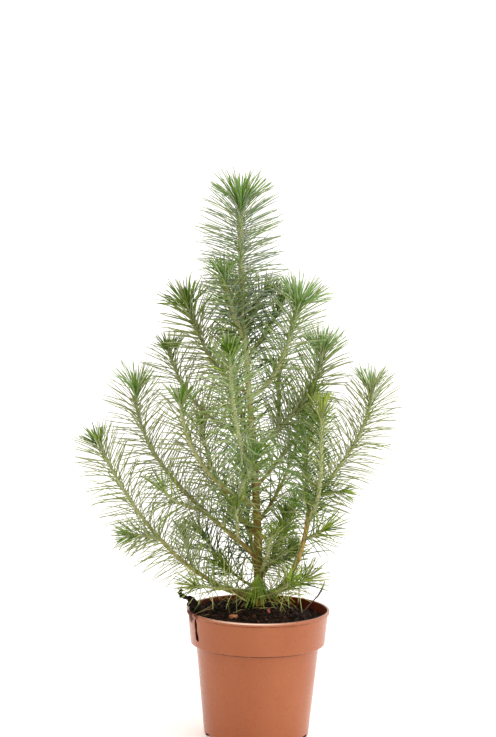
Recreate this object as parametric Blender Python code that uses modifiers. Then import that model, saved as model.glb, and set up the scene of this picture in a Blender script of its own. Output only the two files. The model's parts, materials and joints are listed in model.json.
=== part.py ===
# Young stone pine in its nursery pot, in metres with +Z up.
# The origin is the centre of the pot's flat underside, and the plant's front faces -Y.

import bmesh
import bpy
import math
import random
from collections import namedtuple
from mathutils import Matrix, Vector
from mathutils.kdtree import KDTree

# Gap that separate pieces keep where they meet
CLEARANCE = 0.0003

# Distances at which points of one mesh are merged, and at which limbs are sampled
WELD_DISTANCE = 0.000001
TURN_MERGE_DISTANCE = 0.00001
SAMPLE_STEP = 0.003
DIRECTION_REACH = 0.001

# Tube roundness: 10 sides on the trunk, 6 on a bough, 4 on a needled stem
TRUNK_RESOLUTION = 3
BOUGH_RESOLUTION = 1
STEM_RESOLUTION = 0
SMOOTH_ANGLE = 35

# Pot: a thin moulded shell with a deep rim band and slots round its foot
POT_HEIGHT = 0.116
RIM_RADIUS = 0.065
LIP_DEPTH = 0.003
BAND_DEPTH = 0.031
BAND_RADIUS = 0.0622
BAND_FOOT_RADIUS = 0.061
BODY_RADIUS = 0.0559
FOOT_RADIUS = 0.0475
FOOT_ROUND = 0.0012
WALL = 0.0014
FLOOR = 0.0018
SLOT_COUNT = 8
SLOT_WIDTH = 0.011
SLOT_HEIGHT = 0.0034
SLOT_DEPTH = 0.006
POT_STEPS = 40

# Soil: peat heaped round the stem and lower at the wall
SOIL_TOP = 0.1187
SOIL_FLAT_RADIUS = 0.012
SOIL_EDGE_DROP = 0.0085
SOIL_RINGS = 5

# Trunk: it tapers, leans to -X in one long sweep and flares at the ground
TRUNK_FOOT = SOIL_TOP + CLEARANCE
TRUNK_TIP = 0.482
TRUNK_FOOT_RADIUS = 0.0045
TRUNK_TIP_RADIUS = 0.0022
TRUNK_TAPER_POWER = 2.2
TRUNK_LEAN = 0.0214
TRUNK_STRAIGHT_FOOT = 0.006
TRUNK_BOW = 0.003
FLARE = 0.0013
FLARE_HEIGHT = 0.008
TRUNK_STEP = 0.012

# Shoots: thickness from their length, curve handles as a share of foot-to-tip distance
SHOOT_RADIUS = 0.0013
SHOOT_RADIUS_PER_LENGTH = 0.005
SHOOT_TIP_RADIUS = 0.0012
CARRIER_RADIUS = 0.0027
CARRIER_TIP_RADIUS = 0.0021
CHILD_SHARE = 0.8
HANDLE = 0.34
PATH_POINTS = 48
STEM_STEP = 0.013

# Needles: single spikes in a spiral, wide at the foot of a shoot and closing to a brush
NEEDLE_LENGTH = 0.035
NEEDLE_RADIUS = 0.0011
ROOT_SHARE = 0.52
NEEDLE_SPACING = 0.0035
NEEDLE_START = 0.006
WIDE_ANGLE = 66
TIP_ANGLE = 22
CLOSING_LENGTH = 0.022
TUFT_NEEDLES = 6
TUFT_SHARE = 0.68
TUFT_BACK = 0.0015
TUFT_ANGLE_SPREAD = (0.3, 1.4)
GOLDEN_TURN = math.pi * (3 - math.sqrt(5))
LENGTH_SPREAD = 0.1
SHORTER_TRIES = (1.0, 0.8, 0.6, 0.4)
SPACE_SAMPLES = (0.2, 0.35, 0.5, 0.65, 0.8, 1.0)
SPACE_MARGIN = 0.0014
LIMB_MARGIN = 0.0018
COLLAR_WALL = 0.0007
COLLAR_SPACING = 0.0025
SEED = 9

# Masses whose needles are longer or shorter than the rest
NEEDLE_SCALE = {
    "leader": 1.2,
    "collar_low": 0.9,
    "collar_mid": 0.9,
    "foot_tuft": 0.5,
    "mid_spur": 0.75,
    "left_foot": 0.75,
    "right_foot": 0.7,
    "right_spur": 0.75,
    "right_thin": 0.8,
    "top_left": 0.8,
    "top_right": 0.8,
    "right_top": 0.85,
}

# Each shoot: what it grows from and where (a height on the trunk, or a share of
# the parent's length), its bearing in degrees from +X, how far it reaches out and
# rises, the angles above level at its foot and tip, and its share of bare bough
Shoot = namedtuple("Shoot", "parent at bearing reach rise leave arrive bare")

SHOOTS = {
    "left_low": Shoot("trunk", 0.126, 188, 0.146, 0.142, 10, 65, 0.22),
    "right_low": Shoot("trunk", 0.131, -12, 0.045, 0.080, -12, 88, 1.0),
    "back_low": Shoot("trunk", 0.141, 98, 0.098, 0.088, 15, 70, 0.22),
    "left_back": Shoot("trunk", 0.135, 143, 0.070, 0.046, 5, 45, 0.2),
    "left_foot": Shoot("trunk", 0.130, 222, 0.078, 0.017, 18, 15, 0.2),
    "right_foot": Shoot("trunk", 0.124, -54, 0.050, 0.026, 22, 38, 0.0),
    "inner_right": Shoot("trunk", 0.142, 38, 0.030, 0.060, 45, 85, 0.0),
    "inner_front": Shoot("trunk", 0.148, -62, 0.026, 0.042, 35, 65, 0.0),
    "foot_tuft": Shoot("trunk", 0.134, 268, 0.012, 0.003, 25, 0, 0.0),
    "left_mid": Shoot("trunk", 0.163, 176, 0.113, 0.152, 40, 92, 0.24),
    "mid_spur": Shoot("left_mid", 0.12, 262, 0.016, 0.036, 45, 80, 0.0),
    "front_mid": Shoot("left_mid", 0.22, 312, 0.044, 0.072, 55, 65, 0.0),
    "right_spur": Shoot("right_low", 0.72, -42, 0.023, 0.012, 15, 40, 0.0),
    "right_thin": Shoot("right_low", 0.86, -50, 0.018, 0.104, 45, 85, 0.0),
    "right_fork": Shoot("right_low", 1.0, 12, 0.056, 0.108, 55, 92, 0.0),
    "back_left": Shoot("trunk", 0.184, 130, 0.084, 0.092, 20, 75, 0.2),
    "back_right": Shoot("trunk", 0.196, 62, 0.088, 0.088, 20, 72, 0.2),
    "left_inner": Shoot("trunk", 0.211, 200, 0.073, 0.097, 18, 90, 0.2),
    "right_inner": Shoot("trunk", 0.227, 32, 0.060, 0.058, 40, 38, 0.2),
    "front_high": Shoot("trunk", 0.239, 250, 0.071, 0.121, 25, 80, 0.16),
    "right_mid": Shoot("trunk", 0.261, 12, 0.062, 0.089, 38, 88, 0.18),
    "back_high": Shoot("trunk", 0.268, 108, 0.068, 0.080, 20, 75, 0.2),
    "left_high": Shoot("trunk", 0.278, 160, 0.081, 0.070, -8, 78, 0.16),
    "right_high": Shoot("trunk", 0.310, -14, 0.044, 0.086, 25, 76, 0.16),
    "left_top": Shoot("trunk", 0.313, 172, 0.057, 0.078, 22, 70, 0.14),
    "right_top": Shoot("trunk", 0.342, 28, 0.034, 0.054, 60, 78, 0.0),
    "back_top": Shoot("trunk", 0.350, 102, 0.036, 0.052, 40, 75, 0.0),
    "top_left": Shoot("trunk", 0.361, 215, 0.024, 0.060, 55, 76, 0.0),
    "top_right": Shoot("trunk", 0.369, 38, 0.023, 0.034, 55, 40, 0.0),
}

# Side twigs, each fused into the mass that it grows in
TWIGS = {
    "left_low": (
        Shoot("left_low", 0.50, 203, 0.034, 0.008, 30, 5, 0.0),
        Shoot("left_low", 0.30, 150, 0.014, 0.041, 50, 75, 0.0),
    ),
    "left_mid": (Shoot("left_mid", 0.32, 206, 0.043, 0.024, 25, 60, 0.0),),
    "right_fork": (Shoot("right_fork", 0.12, -12, 0.023, 0.004, 25, 5, 0.0),),
}

# Stretches of trunk that carry needles of their own, from and to these heights
COLLARS = {
    "collar_low": (0.284, 0.304),
    "collar_mid": (0.320, 0.337),
    "leader": (0.377, 0.486),
}

# Base colour and roughness of each kind of piece
FINISHES = {
    "pot": ((0.47, 0.155, 0.075), 0.5),
    "soil": ((0.020, 0.013, 0.009), 0.95),
    "trunk": ((0.21, 0.115, 0.055), 0.8),
    "bough": ((0.26, 0.145, 0.065), 0.75),
    "needles": ((0.115, 0.235, 0.095), 0.55),
}


def clear_scene():
    for item in list(bpy.data.objects):
        bpy.data.objects.remove(item, do_unlink=True)


def new_collection(name):
    collection = bpy.data.collections.new(name)
    bpy.context.scene.collection.children.link(collection)
    return collection


def add_object(name, mesh, collection):
    item = bpy.data.objects.new(name, mesh)
    collection.objects.link(item)
    return item


def remove_object(item):
    bpy.data.objects.remove(item, do_unlink=True)


def applied_mesh(item):
    bpy.context.view_layer.update()
    evaluated = item.evaluated_get(bpy.context.evaluated_depsgraph_get())
    return bpy.data.meshes.new_from_object(evaluated)


def apply_modifiers(item):
    mesh = applied_mesh(item)
    item.modifiers.clear()
    item.data = mesh


def weld(mesh):
    shape = bmesh.new()
    shape.from_mesh(mesh)
    bmesh.ops.remove_doubles(shape, verts=shape.verts, dist=WELD_DISTANCE)
    shape.to_mesh(mesh)
    shape.free()


def finish(item, kind):
    colour, roughness = FINISHES[kind]
    material = bpy.data.materials.new(item.name)
    material.use_nodes = True
    shader = material.node_tree.nodes["Principled BSDF"]
    shader.inputs["Base Color"].default_value = (*colour, 1.0)
    shader.inputs["Roughness"].default_value = roughness
    shader.inputs["Metallic"].default_value = 0.0
    item.data.materials.clear()
    item.data.materials.append(material)


def shade_round(item):
    item.data.shade_smooth()
    item.data.set_sharp_from_angle(angle=math.radians(SMOOTH_ANGLE))


# Turned pieces

def turned(name, profile, collection):
    mesh = bpy.data.meshes.new(name)
    edges = [(i, i + 1) for i in range(len(profile) - 1)]
    mesh.from_pydata([(radius, 0.0, height) for radius, height in profile], edges, [])
    item = add_object(name, mesh, collection)
    screw = item.modifiers.new("Turn", "SCREW")
    screw.axis = "Z"
    screw.steps = POT_STEPS
    screw.render_steps = POT_STEPS
    screw.use_merge_vertices = True
    screw.merge_threshold = TURN_MERGE_DISTANCE
    apply_modifiers(item)
    return item


def band_bottom():
    return POT_HEIGHT - BAND_DEPTH


def inner_radius(height):
    if height >= band_bottom():
        share = (height - band_bottom()) / BAND_DEPTH
        return BAND_FOOT_RADIUS + (BAND_RADIUS - BAND_FOOT_RADIUS) * share - WALL
    share = height / band_bottom()
    return FOOT_RADIUS + (BODY_RADIUS - FOOT_RADIUS) * share - WALL


def build_pot(parts, cutters):
    step = band_bottom()
    lip_foot = POT_HEIGHT - LIP_DEPTH
    profile = [
        (0.0, FLOOR),
        (inner_radius(FLOOR), FLOOR),
        (inner_radius(step - WALL) - WALL / 2, step - WALL),
        (inner_radius(step), step + WALL),
        (inner_radius(POT_HEIGHT), POT_HEIGHT - WALL / 2),
        (inner_radius(POT_HEIGHT) + WALL / 2, POT_HEIGHT),
        (RIM_RADIUS - WALL / 2, POT_HEIGHT),
        (RIM_RADIUS, POT_HEIGHT - WALL / 2),
        (RIM_RADIUS, lip_foot),
        (BAND_RADIUS + WALL / 2, lip_foot - WALL / 2),
        (BAND_FOOT_RADIUS, step),
        (BODY_RADIUS, step - WALL / 2),
        (FOOT_RADIUS, FOOT_ROUND),
        (FOOT_RADIUS - FOOT_ROUND, 0.0),
        (0.0, 0.0),
    ]
    pot = turned("pot", profile, parts)
    cutter_mesh = bpy.data.meshes.new("foot_slots")
    shape = bmesh.new()
    for slot in range(SLOT_COUNT):
        turn = Matrix.Rotation(math.tau * (slot + 0.5) / SLOT_COUNT, 4, "Z")
        place = Matrix.Translation((FOOT_RADIUS, 0.0, 0.0))
        size = Matrix.Diagonal((2 * SLOT_DEPTH, SLOT_WIDTH, 2 * SLOT_HEIGHT, 1.0))
        bmesh.ops.create_cube(shape, size=1.0, matrix=turn @ place @ size)
    shape.to_mesh(cutter_mesh)
    shape.free()
    cutter = add_object("foot_slots", cutter_mesh, cutters)
    subtract(pot, cutter)
    shade_round(pot)
    finish(pot, "pot")


def soil_height(radius):
    edge = inner_radius(SOIL_TOP - SOIL_EDGE_DROP) - CLEARANCE
    share = max(0.0, radius - SOIL_FLAT_RADIUS) / (edge - SOIL_FLAT_RADIUS)
    return SOIL_TOP - SOIL_EDGE_DROP * math.sin(math.pi / 2 * share) ** 2


def build_soil(parts):
    step = band_bottom()
    edge = inner_radius(SOIL_TOP - SOIL_EDGE_DROP) - CLEARANCE
    profile = [(0.0, SOIL_TOP)]
    for ring in range(SOIL_RINGS + 1):
        radius = SOIL_FLAT_RADIUS + (edge - SOIL_FLAT_RADIUS) * ring / SOIL_RINGS
        profile.append((radius, soil_height(radius)))
    profile += [
        (inner_radius(step) - CLEARANCE, step + WALL),
        (inner_radius(step - WALL) - WALL / 2 - CLEARANCE, step - WALL),
        (inner_radius(FLOOR) - CLEARANCE, FLOOR + CLEARANCE),
        (0.0, FLOOR + CLEARANCE),
    ]
    soil = turned("soil", profile, parts)
    shade_round(soil)
    finish(soil, "soil")


# Booleans

def subtract(item, cutter):
    cut = item.modifiers.new("Cut", "BOOLEAN")
    cut.operation = "DIFFERENCE"
    cut.solver = "EXACT"
    cut.object = cutter
    apply_modifiers(item)


def join_collection(item, collection):
    union = item.modifiers.new("Union", "BOOLEAN")
    union.operation = "UNION"
    union.solver = "EXACT"
    union.operand_type = "COLLECTION"
    union.collection = collection
    apply_modifiers(item)
    for operand in list(collection.objects):
        remove_object(operand)
    bpy.data.collections.remove(collection)


# Limbs

def tube(name, points, radii, resolution, collection):
    curve = bpy.data.curves.new(name, "CURVE")
    curve.dimensions = "3D"
    curve.bevel_depth = 1.0
    curve.bevel_resolution = resolution
    curve.use_fill_caps = True
    spline = curve.splines.new("POLY")
    spline.points.add(len(points) - 1)
    for knot, point, radius in zip(spline.points, points, radii):
        knot.co = (*point, 1.0)
        knot.radius = radius
    guide = add_object(name + "_guide", curve, collection)
    mesh = applied_mesh(guide)
    place = guide.matrix_world.copy()
    remove_object(guide)
    weld(mesh)
    item = add_object(name, mesh, collection)
    item.matrix_world = place
    return item


class Path:
    """Points along a limb's middle line, read by the distance from its foot."""

    def __init__(self, points):
        self.points = points
        self.thick = SHOOT_TIP_RADIUS
        self.thin = SHOOT_TIP_RADIUS
        self.marks = [0.0]
        for before, after in zip(points, points[1:]):
            self.marks.append(self.marks[-1] + (after - before).length)
        self.length = self.marks[-1]

    def point(self, distance):
        last = len(self.points) - 2
        index = 0
        while index < last and self.marks[index + 1] < distance:
            index += 1
        span = self.marks[index + 1] - self.marks[index]
        share = (distance - self.marks[index]) / span
        return self.points[index].lerp(self.points[index + 1], share)

    def direction(self, distance):
        ahead = self.point(distance + DIRECTION_REACH)
        return (ahead - self.point(distance - DIRECTION_REACH)).normalized()

    def radius(self, distance):
        return self.thick + (self.thin - self.thick) * distance / self.length

    def stretch(self, start, end, step):
        count = max(2, round((end - start) / step) + 1)
        return [start + (end - start) * i / (count - 1) for i in range(count)]


def trunk_point(height):
    rise = max(0.0, height - TRUNK_FOOT - TRUNK_STRAIGHT_FOOT)
    share = min(1.0, rise / (TRUNK_TIP - TRUNK_FOOT))
    sweep = share * share * (3 - 2 * share)
    bow = TRUNK_BOW * math.sin(math.pi * share) * share
    return Vector((-TRUNK_LEAN * sweep, bow, height))


def trunk_radius(height):
    share = min(1.0, max(0.0, (height - TRUNK_FOOT) / (TRUNK_TIP - TRUNK_FOOT)))
    taper = (TRUNK_FOOT_RADIUS - TRUNK_TIP_RADIUS) * (1 - share) ** TRUNK_TAPER_POWER
    flare = FLARE * math.exp(-max(0.0, height - TRUNK_FOOT) / FLARE_HEIGHT)
    return TRUNK_TIP_RADIUS + taper + flare


def trunk_heights(start, end):
    low = [start, start + TRUNK_STRAIGHT_FOOT / 2, start + TRUNK_STRAIGHT_FOOT]
    count = round((end - low[-1]) / TRUNK_STEP)
    return low + [low[-1] + (end - low[-1]) * (i + 1) / count for i in range(count)]


def trunk_tube(name, heights, extra, collection):
    points = [trunk_point(height) for height in heights]
    radii = [trunk_radius(height) + extra for height in heights]
    return tube(name, points, radii, TRUNK_RESOLUTION, collection)


def shoot_path(foot, parent_radius, shoot):
    handle = HANDLE * math.hypot(shoot.reach, shoot.rise)
    leave = math.radians(shoot.leave)
    arrive = math.radians(shoot.arrive)
    tip = Vector((shoot.reach, shoot.rise))
    corners = (
        Vector((0.0, 0.0)),
        handle * Vector((math.cos(leave), math.sin(leave))),
        tip - handle * Vector((math.cos(arrive), math.sin(arrive))),
        tip,
    )
    bearing = math.radians(shoot.bearing)
    outward = Vector((math.cos(bearing), math.sin(bearing), 0.0))
    points = []
    for index in range(PATH_POINTS + 1):
        t = index / PATH_POINTS
        weights = ((1 - t) ** 3, 3 * t * (1 - t) ** 2, 3 * t * t * (1 - t), t ** 3)
        flat = Vector((0.0, 0.0))
        for corner, weight in zip(corners, weights):
            flat += corner * weight
        points.append(foot + outward * flat.x + Vector((0.0, 0.0, flat.y)))
    path = Path(points)
    if shoot.bare == 1.0:
        path.thick = CARRIER_RADIUS
        path.thin = CARRIER_TIP_RADIUS
    else:
        wanted = SHOOT_RADIUS + SHOOT_RADIUS_PER_LENGTH * path.length
        path.thick = min(wanted, CHILD_SHARE * parent_radius)
        path.thin = min(SHOOT_TIP_RADIUS, path.thick)
    return path


def shoot_tube(name, path, start, end, extra, resolution, collection):
    marks = path.stretch(start, end, STEM_STEP)
    points = [path.point(mark) for mark in marks]
    radii = [path.radius(mark) + extra for mark in marks]
    return tube(name, points, radii, resolution, collection)


def branch_path(parent, shoot):
    mark = parent.length * shoot.at
    return shoot_path(parent.point(mark), parent.radius(mark), shoot)


def lay_out_shoots():
    paths = {}
    for name, shoot in SHOOTS.items():
        if shoot.parent == "trunk":
            paths[name] = shoot_path(trunk_point(shoot.at), trunk_radius(shoot.at), shoot)
        else:
            paths[name] = branch_path(paths[shoot.parent], shoot)
    return paths


def carrier(name):
    if name in COLLARS:
        return "trunk"
    return name if SHOOTS[name].bare else SHOOTS[name].parent


# Each mass is a list of needled stretches: a path, and the distances between which
# needles stand on it
def lay_out_masses(paths):
    masses = {}
    for name, shoot in SHOOTS.items():
        if shoot.bare == 1.0:
            continue
        path = paths[name]
        start = path.length * shoot.bare
        masses[name] = [(path, start, path.length)]
        for twig in TWIGS.get(name, ()):
            branch = branch_path(path, twig)
            masses[name].append((branch, 0.0, branch.length))
    for name, (low, high) in COLLARS.items():
        marks = [low + (high - low) * i / PATH_POINTS for i in range(PATH_POINTS + 1)]
        axis = Path([trunk_point(mark) for mark in marks])
        axis.thick = trunk_radius(low)
        axis.thin = trunk_radius(high)
        masses[name] = [(axis, 0.0, axis.length)]
    return masses


def sample_stretches(stretches):
    samples = []
    for path, start, end in stretches:
        samples += [path.point(mark) for mark in path.stretch(start, end, SAMPLE_STEP)]
    return samples


def point_tree(points):
    tree = KDTree(len(points))
    for index, point in enumerate(points):
        tree.insert(point, index)
    tree.balance()
    return tree


class Space:
    """The room that one mass's needles may fill."""

    def __init__(self, name, masses, limbs):
        self.own = point_tree(sample_stretches(masses[name]))
        others = [stretches for key, stretches in masses.items() if key != name]
        self.rest = point_tree([p for stretches in others for p in sample_stretches(stretches)])
        self.limbs = limbs

    def holds(self, root, direction, length):
        for share in SPACE_SAMPLES:
            point = root + direction * length * share
            if math.hypot(point.x, point.y) < RIM_RADIUS + LIMB_MARGIN:
                if point.z < SOIL_TOP + LIMB_MARGIN:
                    return False
            slack = self.rest.find(point)[2] - self.own.find(point)[2]
            if slack < SPACE_MARGIN + 2 * NEEDLE_RADIUS * (1 - share):
                return False
            for tree, radii in self.limbs:
                _, index, distance = tree.find(point)
                if distance < radii[index] + LIMB_MARGIN:
                    return False
        return True


# The trunk comes first, so that a collar, which starts on it, can leave it out
def lay_out_limbs(paths):
    trunk = [trunk_point(height) for height in trunk_heights(TRUNK_FOOT, TRUNK_TIP)]
    dense = Path(trunk)
    marks = dense.stretch(0.0, dense.length, SAMPLE_STEP)
    trunk_points = [dense.point(mark) for mark in marks]
    limbs = [(point_tree(trunk_points), [trunk_radius(point.z) for point in trunk_points])]
    bough_points = []
    bough_radii = []
    for name, path in paths.items():
        if SHOOTS[name].bare:
            for mark in path.stretch(0.0, path.length * SHOOTS[name].bare, SAMPLE_STEP):
                bough_points.append(path.point(mark))
                bough_radii.append(path.radius(mark))
    limbs.append((point_tree(bough_points), bough_radii))
    return limbs


# Needles

def needle_mesh():
    mesh = bpy.data.meshes.new("needle")
    shape = bmesh.new()
    bmesh.ops.create_cone(shape, cap_ends=True, segments=3, radius1=1.0, radius2=0.0, depth=1.0)
    bmesh.ops.translate(shape, verts=shape.verts, vec=(0.0, 0.0, 0.5))
    shape.to_mesh(mesh)
    shape.free()
    return mesh


def needle_direction(along, turn, angle):
    side = along.orthogonal().normalized()
    around = Matrix.Rotation(turn, 3, along) @ side
    return (along * math.cos(angle) + around * math.sin(angle)).normalized()


def spread(rng):
    return rng.uniform(1 - LENGTH_SPREAD, 1 + LENGTH_SPREAD)


def needle_plan(path, start, end, rng):
    plan = []
    mark = start + NEEDLE_START
    turn = rng.uniform(0.0, math.tau)
    while mark < end - TUFT_BACK:
        closed = math.exp(-(end - mark) / CLOSING_LENGTH)
        angle = WIDE_ANGLE + (TIP_ANGLE - WIDE_ANGLE) * closed
        length = NEEDLE_LENGTH * (1 + (TUFT_SHARE - 1) * closed)
        plan.append((mark, turn, math.radians(angle), length * spread(rng)))
        mark += NEEDLE_SPACING
        turn += GOLDEN_TURN
    for _ in range(TUFT_NEEDLES):
        angle = math.radians(TIP_ANGLE * rng.uniform(*TUFT_ANGLE_SPREAD))
        plan.append((end - TUFT_BACK, turn, angle, NEEDLE_LENGTH * TUFT_SHARE * spread(rng)))
        turn += GOLDEN_TURN
    return plan


def collar_plan(end, rng):
    plan = []
    mark = COLLAR_SPACING
    turn = rng.uniform(0.0, math.tau)
    while mark < end - COLLAR_SPACING:
        plan.append((mark, turn, math.radians(WIDE_ANGLE), NEEDLE_LENGTH * spread(rng)))
        mark += COLLAR_SPACING
        turn += GOLDEN_TURN
    return plan


def add_needles(name, stretches, space, needle, rng, collection):
    for path, start, end in stretches:
        ringed = name in COLLARS and name != "leader"
        plan = collar_plan(end, rng) if ringed else needle_plan(path, start, end, rng)
        for mark, turn, angle, full_length in plan:
            root = path.point(mark)
            direction = needle_direction(path.direction(mark), turn, angle)
            for share in SHORTER_TRIES:
                length = full_length * NEEDLE_SCALE.get(name, 1.0) * share
                if space.holds(root, direction, length):
                    spike = add_object("needle", needle, collection)
                    radius = min(NEEDLE_RADIUS, ROOT_SHARE * path.radius(mark))
                    scale = Vector((radius, radius, length))
                    facing = direction.to_track_quat("Z", "Y")
                    spike.matrix_world = Matrix.LocRotScale(root, facing, scale)
                    break


def build_mass(name, stretches, space, needle, rng, parts):
    sprays = new_collection("sprays_" + name)
    if name in COLLARS:
        low, high = COLLARS[name]
        count = max(2, round((high - low) / TRUNK_STEP) + 1)
        heights = [low + (high - low) * i / (count - 1) for i in range(count)]
        stem = trunk_tube("needles_" + name, heights, CLEARANCE + COLLAR_WALL, parts)
    else:
        path, start, end = stretches[0]
        stem = shoot_tube("needles_" + name, path, start, end, 0.0, STEM_RESOLUTION, parts)
    for index, (path, start, end) in enumerate(stretches[1:]):
        shoot_tube("twig_" + str(index), path, start, end, 0.0, STEM_RESOLUTION, sprays)
    add_needles(name, stretches, space, needle, rng, sprays)
    join_collection(stem, sprays)
    finish(stem, "needles")
    return stem


def build_plant():
    clear_scene()
    parts = new_collection("potted_stone_pine")
    cutters = new_collection("cutters")
    rng = random.Random(SEED)

    build_pot(parts, cutters)
    build_soil(parts)

    heights = trunk_heights(TRUNK_FOOT, TRUNK_TIP)
    trunk = trunk_tube("trunk", heights, 0.0, parts)
    shade_round(trunk)
    finish(trunk, "trunk")
    tall = [TRUNK_FOOT - CLEARANCE] + heights[1:-1] + [TRUNK_TIP + CLEARANCE]
    trunk_room = trunk_tube("trunk_room", tall, CLEARANCE, cutters)

    paths = lay_out_shoots()
    rooms = {"trunk": trunk_room}
    for name, path in paths.items():
        shoot = SHOOTS[name]
        if not shoot.bare:
            continue
        bough_end = path.length * shoot.bare
        bough = shoot_tube("bough_" + name, path, 0.0, bough_end, 0.0, BOUGH_RESOLUTION, parts)
        subtract(bough, trunk_room)
        shade_round(bough)
        finish(bough, "bough")
        room_end = bough_end + CLEARANCE
        room_name = "room_" + name
        rooms[name] = shoot_tube(room_name, path, 0.0, room_end, CLEARANCE, BOUGH_RESOLUTION, cutters)

    masses = lay_out_masses(paths)
    limbs = lay_out_limbs(paths)
    needle = needle_mesh()
    for name, stretches in masses.items():
        space = Space(name, masses, limbs[1:] if name in COLLARS else limbs)
        mass = build_mass(name, stretches, space, needle, rng, parts)
        subtract(mass, rooms[carrier(name)])

    for cutter in cutters.objects:
        cutter.hide_render = True
        cutter.display_type = "WIRE"


build_plant()
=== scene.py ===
import json
from collections import namedtuple
from math import atan2, cos, degrees, exp, hypot, pi, radians, sin, sqrt, tau

import bmesh
import bpy
import numpy as np
from mathutils import Matrix, Vector, noise

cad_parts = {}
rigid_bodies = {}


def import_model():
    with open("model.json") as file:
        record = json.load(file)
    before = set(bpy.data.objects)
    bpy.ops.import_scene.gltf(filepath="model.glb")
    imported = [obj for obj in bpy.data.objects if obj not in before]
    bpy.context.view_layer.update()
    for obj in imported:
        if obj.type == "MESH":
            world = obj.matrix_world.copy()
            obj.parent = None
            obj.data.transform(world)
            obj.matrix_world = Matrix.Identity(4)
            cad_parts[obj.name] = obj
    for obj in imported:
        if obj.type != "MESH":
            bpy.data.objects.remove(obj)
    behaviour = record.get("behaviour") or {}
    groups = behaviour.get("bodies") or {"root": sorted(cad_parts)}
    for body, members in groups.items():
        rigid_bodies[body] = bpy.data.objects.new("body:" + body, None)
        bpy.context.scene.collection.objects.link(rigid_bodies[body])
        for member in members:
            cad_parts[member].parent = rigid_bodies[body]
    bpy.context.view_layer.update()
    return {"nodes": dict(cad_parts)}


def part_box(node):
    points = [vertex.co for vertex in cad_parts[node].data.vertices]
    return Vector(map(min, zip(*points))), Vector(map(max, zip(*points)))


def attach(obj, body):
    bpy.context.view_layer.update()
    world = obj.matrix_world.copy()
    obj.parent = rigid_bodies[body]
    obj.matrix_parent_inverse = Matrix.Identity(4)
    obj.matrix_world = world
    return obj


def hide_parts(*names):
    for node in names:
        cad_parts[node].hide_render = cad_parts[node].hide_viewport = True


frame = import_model()
nodeNames = sorted(frame["nodes"])
dice = np.random.default_rng(21)
print("frame loaded:", len(nodeNames), "nodes")


def putDown(name, data):
    thing = bpy.data.objects.new(name, data)
    bpy.context.scene.collection.objects.link(thing)
    return thing


# The camera stands where the photo was taken from

photoView = dict(
    place=(-0.0126, -2.4, 0.6315),
    lookDown=7.027,  # degrees below level
    tilt=0.9,  # degrees of roll
    lens=131.38,
    sensor=36.0,
)


def setCamera():
    data = bpy.data.cameras.new("photoView")
    data.sensor_fit = "VERTICAL"
    data.sensor_height = photoView["sensor"]
    data.lens = photoView["lens"]
    camera = putDown("photoView", data)
    down = radians(photoView["lookDown"])
    tilt = radians(photoView["tilt"])
    ahead = Vector((0, cos(down), -sin(down)))
    level = Vector((1, 0, 0))
    over = Vector((0, sin(down), cos(down)))
    right = level * cos(tilt) + over * sin(tilt)
    up = over * cos(tilt) - level * sin(tilt)
    turn = Matrix((right, up, -ahead)).transposed()
    camera.matrix_world = Matrix.Translation(photoView["place"]) @ turn.to_4x4()
    bpy.context.scene.camera = camera


setCamera()


# Material helpers

def wire(tree, node, feeds):
    # plain numbers and colours are set on the node's sockets, other sockets are linked to them
    for name, value in feeds.items():
        socket = node.inputs[name]
        if isinstance(value, bpy.types.NodeSocket):
            tree.links.new(value, socket)
        elif socket.type == "RGBA":
            socket.default_value = (*value, 1.0)
        else:
            socket.default_value = value


def addNode(tree, kind, feeds):
    node = tree.nodes.new("ShaderNode" + kind)
    wire(tree, node, feeds)
    return node


def newMaterial(name, shine, sheen=(1.0, 1.0, 1.0)):
    material = bpy.data.materials.new(name)
    material.use_nodes = True
    tree = material.node_tree
    shader = tree.nodes["Principled BSDF"]
    wire(tree, shader, {"Specular IOR Level": shine, "Specular Tint": sheen})
    return material, tree, shader


def spot(tree):
    # the place on the object, so that patterns are fixed to it
    return addNode(tree, "TexCoord", {}).outputs["Object"]


def grain(tree, scale, detail=3.0, stretch=(1, 1, 1)):
    # noise from 0 to 1
    size = addNode(tree, "Mapping", {"Scale": stretch, "Vector": spot(tree)}).outputs["Vector"]
    return addNode(tree, "TexNoise", {"Scale": scale, "Detail": detail, "Vector": size}).outputs["Fac"]


def ramp(tree, source, stops):
    # stops: (position, colour) pairs
    scale = addNode(tree, "ValToRGB", {"Fac": source})
    while len(scale.color_ramp.elements) < len(stops):
        scale.color_ramp.elements.new(1.0)
    for element, (position, colour) in zip(scale.color_ramp.elements, stops):
        element.position = position
        element.color = (*colour, 1.0)
    return scale.outputs["Color"]


def rerange(tree, source, low, high, toLow=0.0, toHigh=1.0):
    feeds = {"Value": source, "From Min": low, "From Max": high, "To Min": toLow, "To Max": toHigh}
    return addNode(tree, "MapRange", feeds).outputs["Result"]


def sums(tree, operation, first, second=0.0):
    step = addNode(tree, "Math", {0: first, 1: second})
    step.operation = operation
    return step.outputs["Value"]


def times(tree, first, second):
    return sums(tree, "MULTIPLY", first, second)


def plus(tree, first, second):
    return sums(tree, "ADD", first, second)


def blendColours(tree, share, under, over):
    # over shows by its share; either may be a socket or a plain colour
    mix = tree.nodes.new("ShaderNodeMix")
    mix.data_type = "RGBA"
    wire(tree, mix, {"Factor": share, 6: under, 7: over})
    return mix.outputs[2]


def heightOf(tree):
    return addNode(tree, "SeparateXYZ", {"Vector": spot(tree)}).outputs["Z"]


def nearHeight(tree, height, reach):
    away = sums(tree, "ABSOLUTE", sums(tree, "SUBTRACT", heightOf(tree), height))
    return rerange(tree, away, 0.0, reach, 1.0, 0.0)


def nearPoint(tree, point, reach):
    gap = addNode(tree, "VectorMath", {0: spot(tree), 1: point})
    gap.operation = "DISTANCE"
    return rerange(tree, gap.outputs["Value"], 0.0, reach, 1.0, 0.0)


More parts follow.
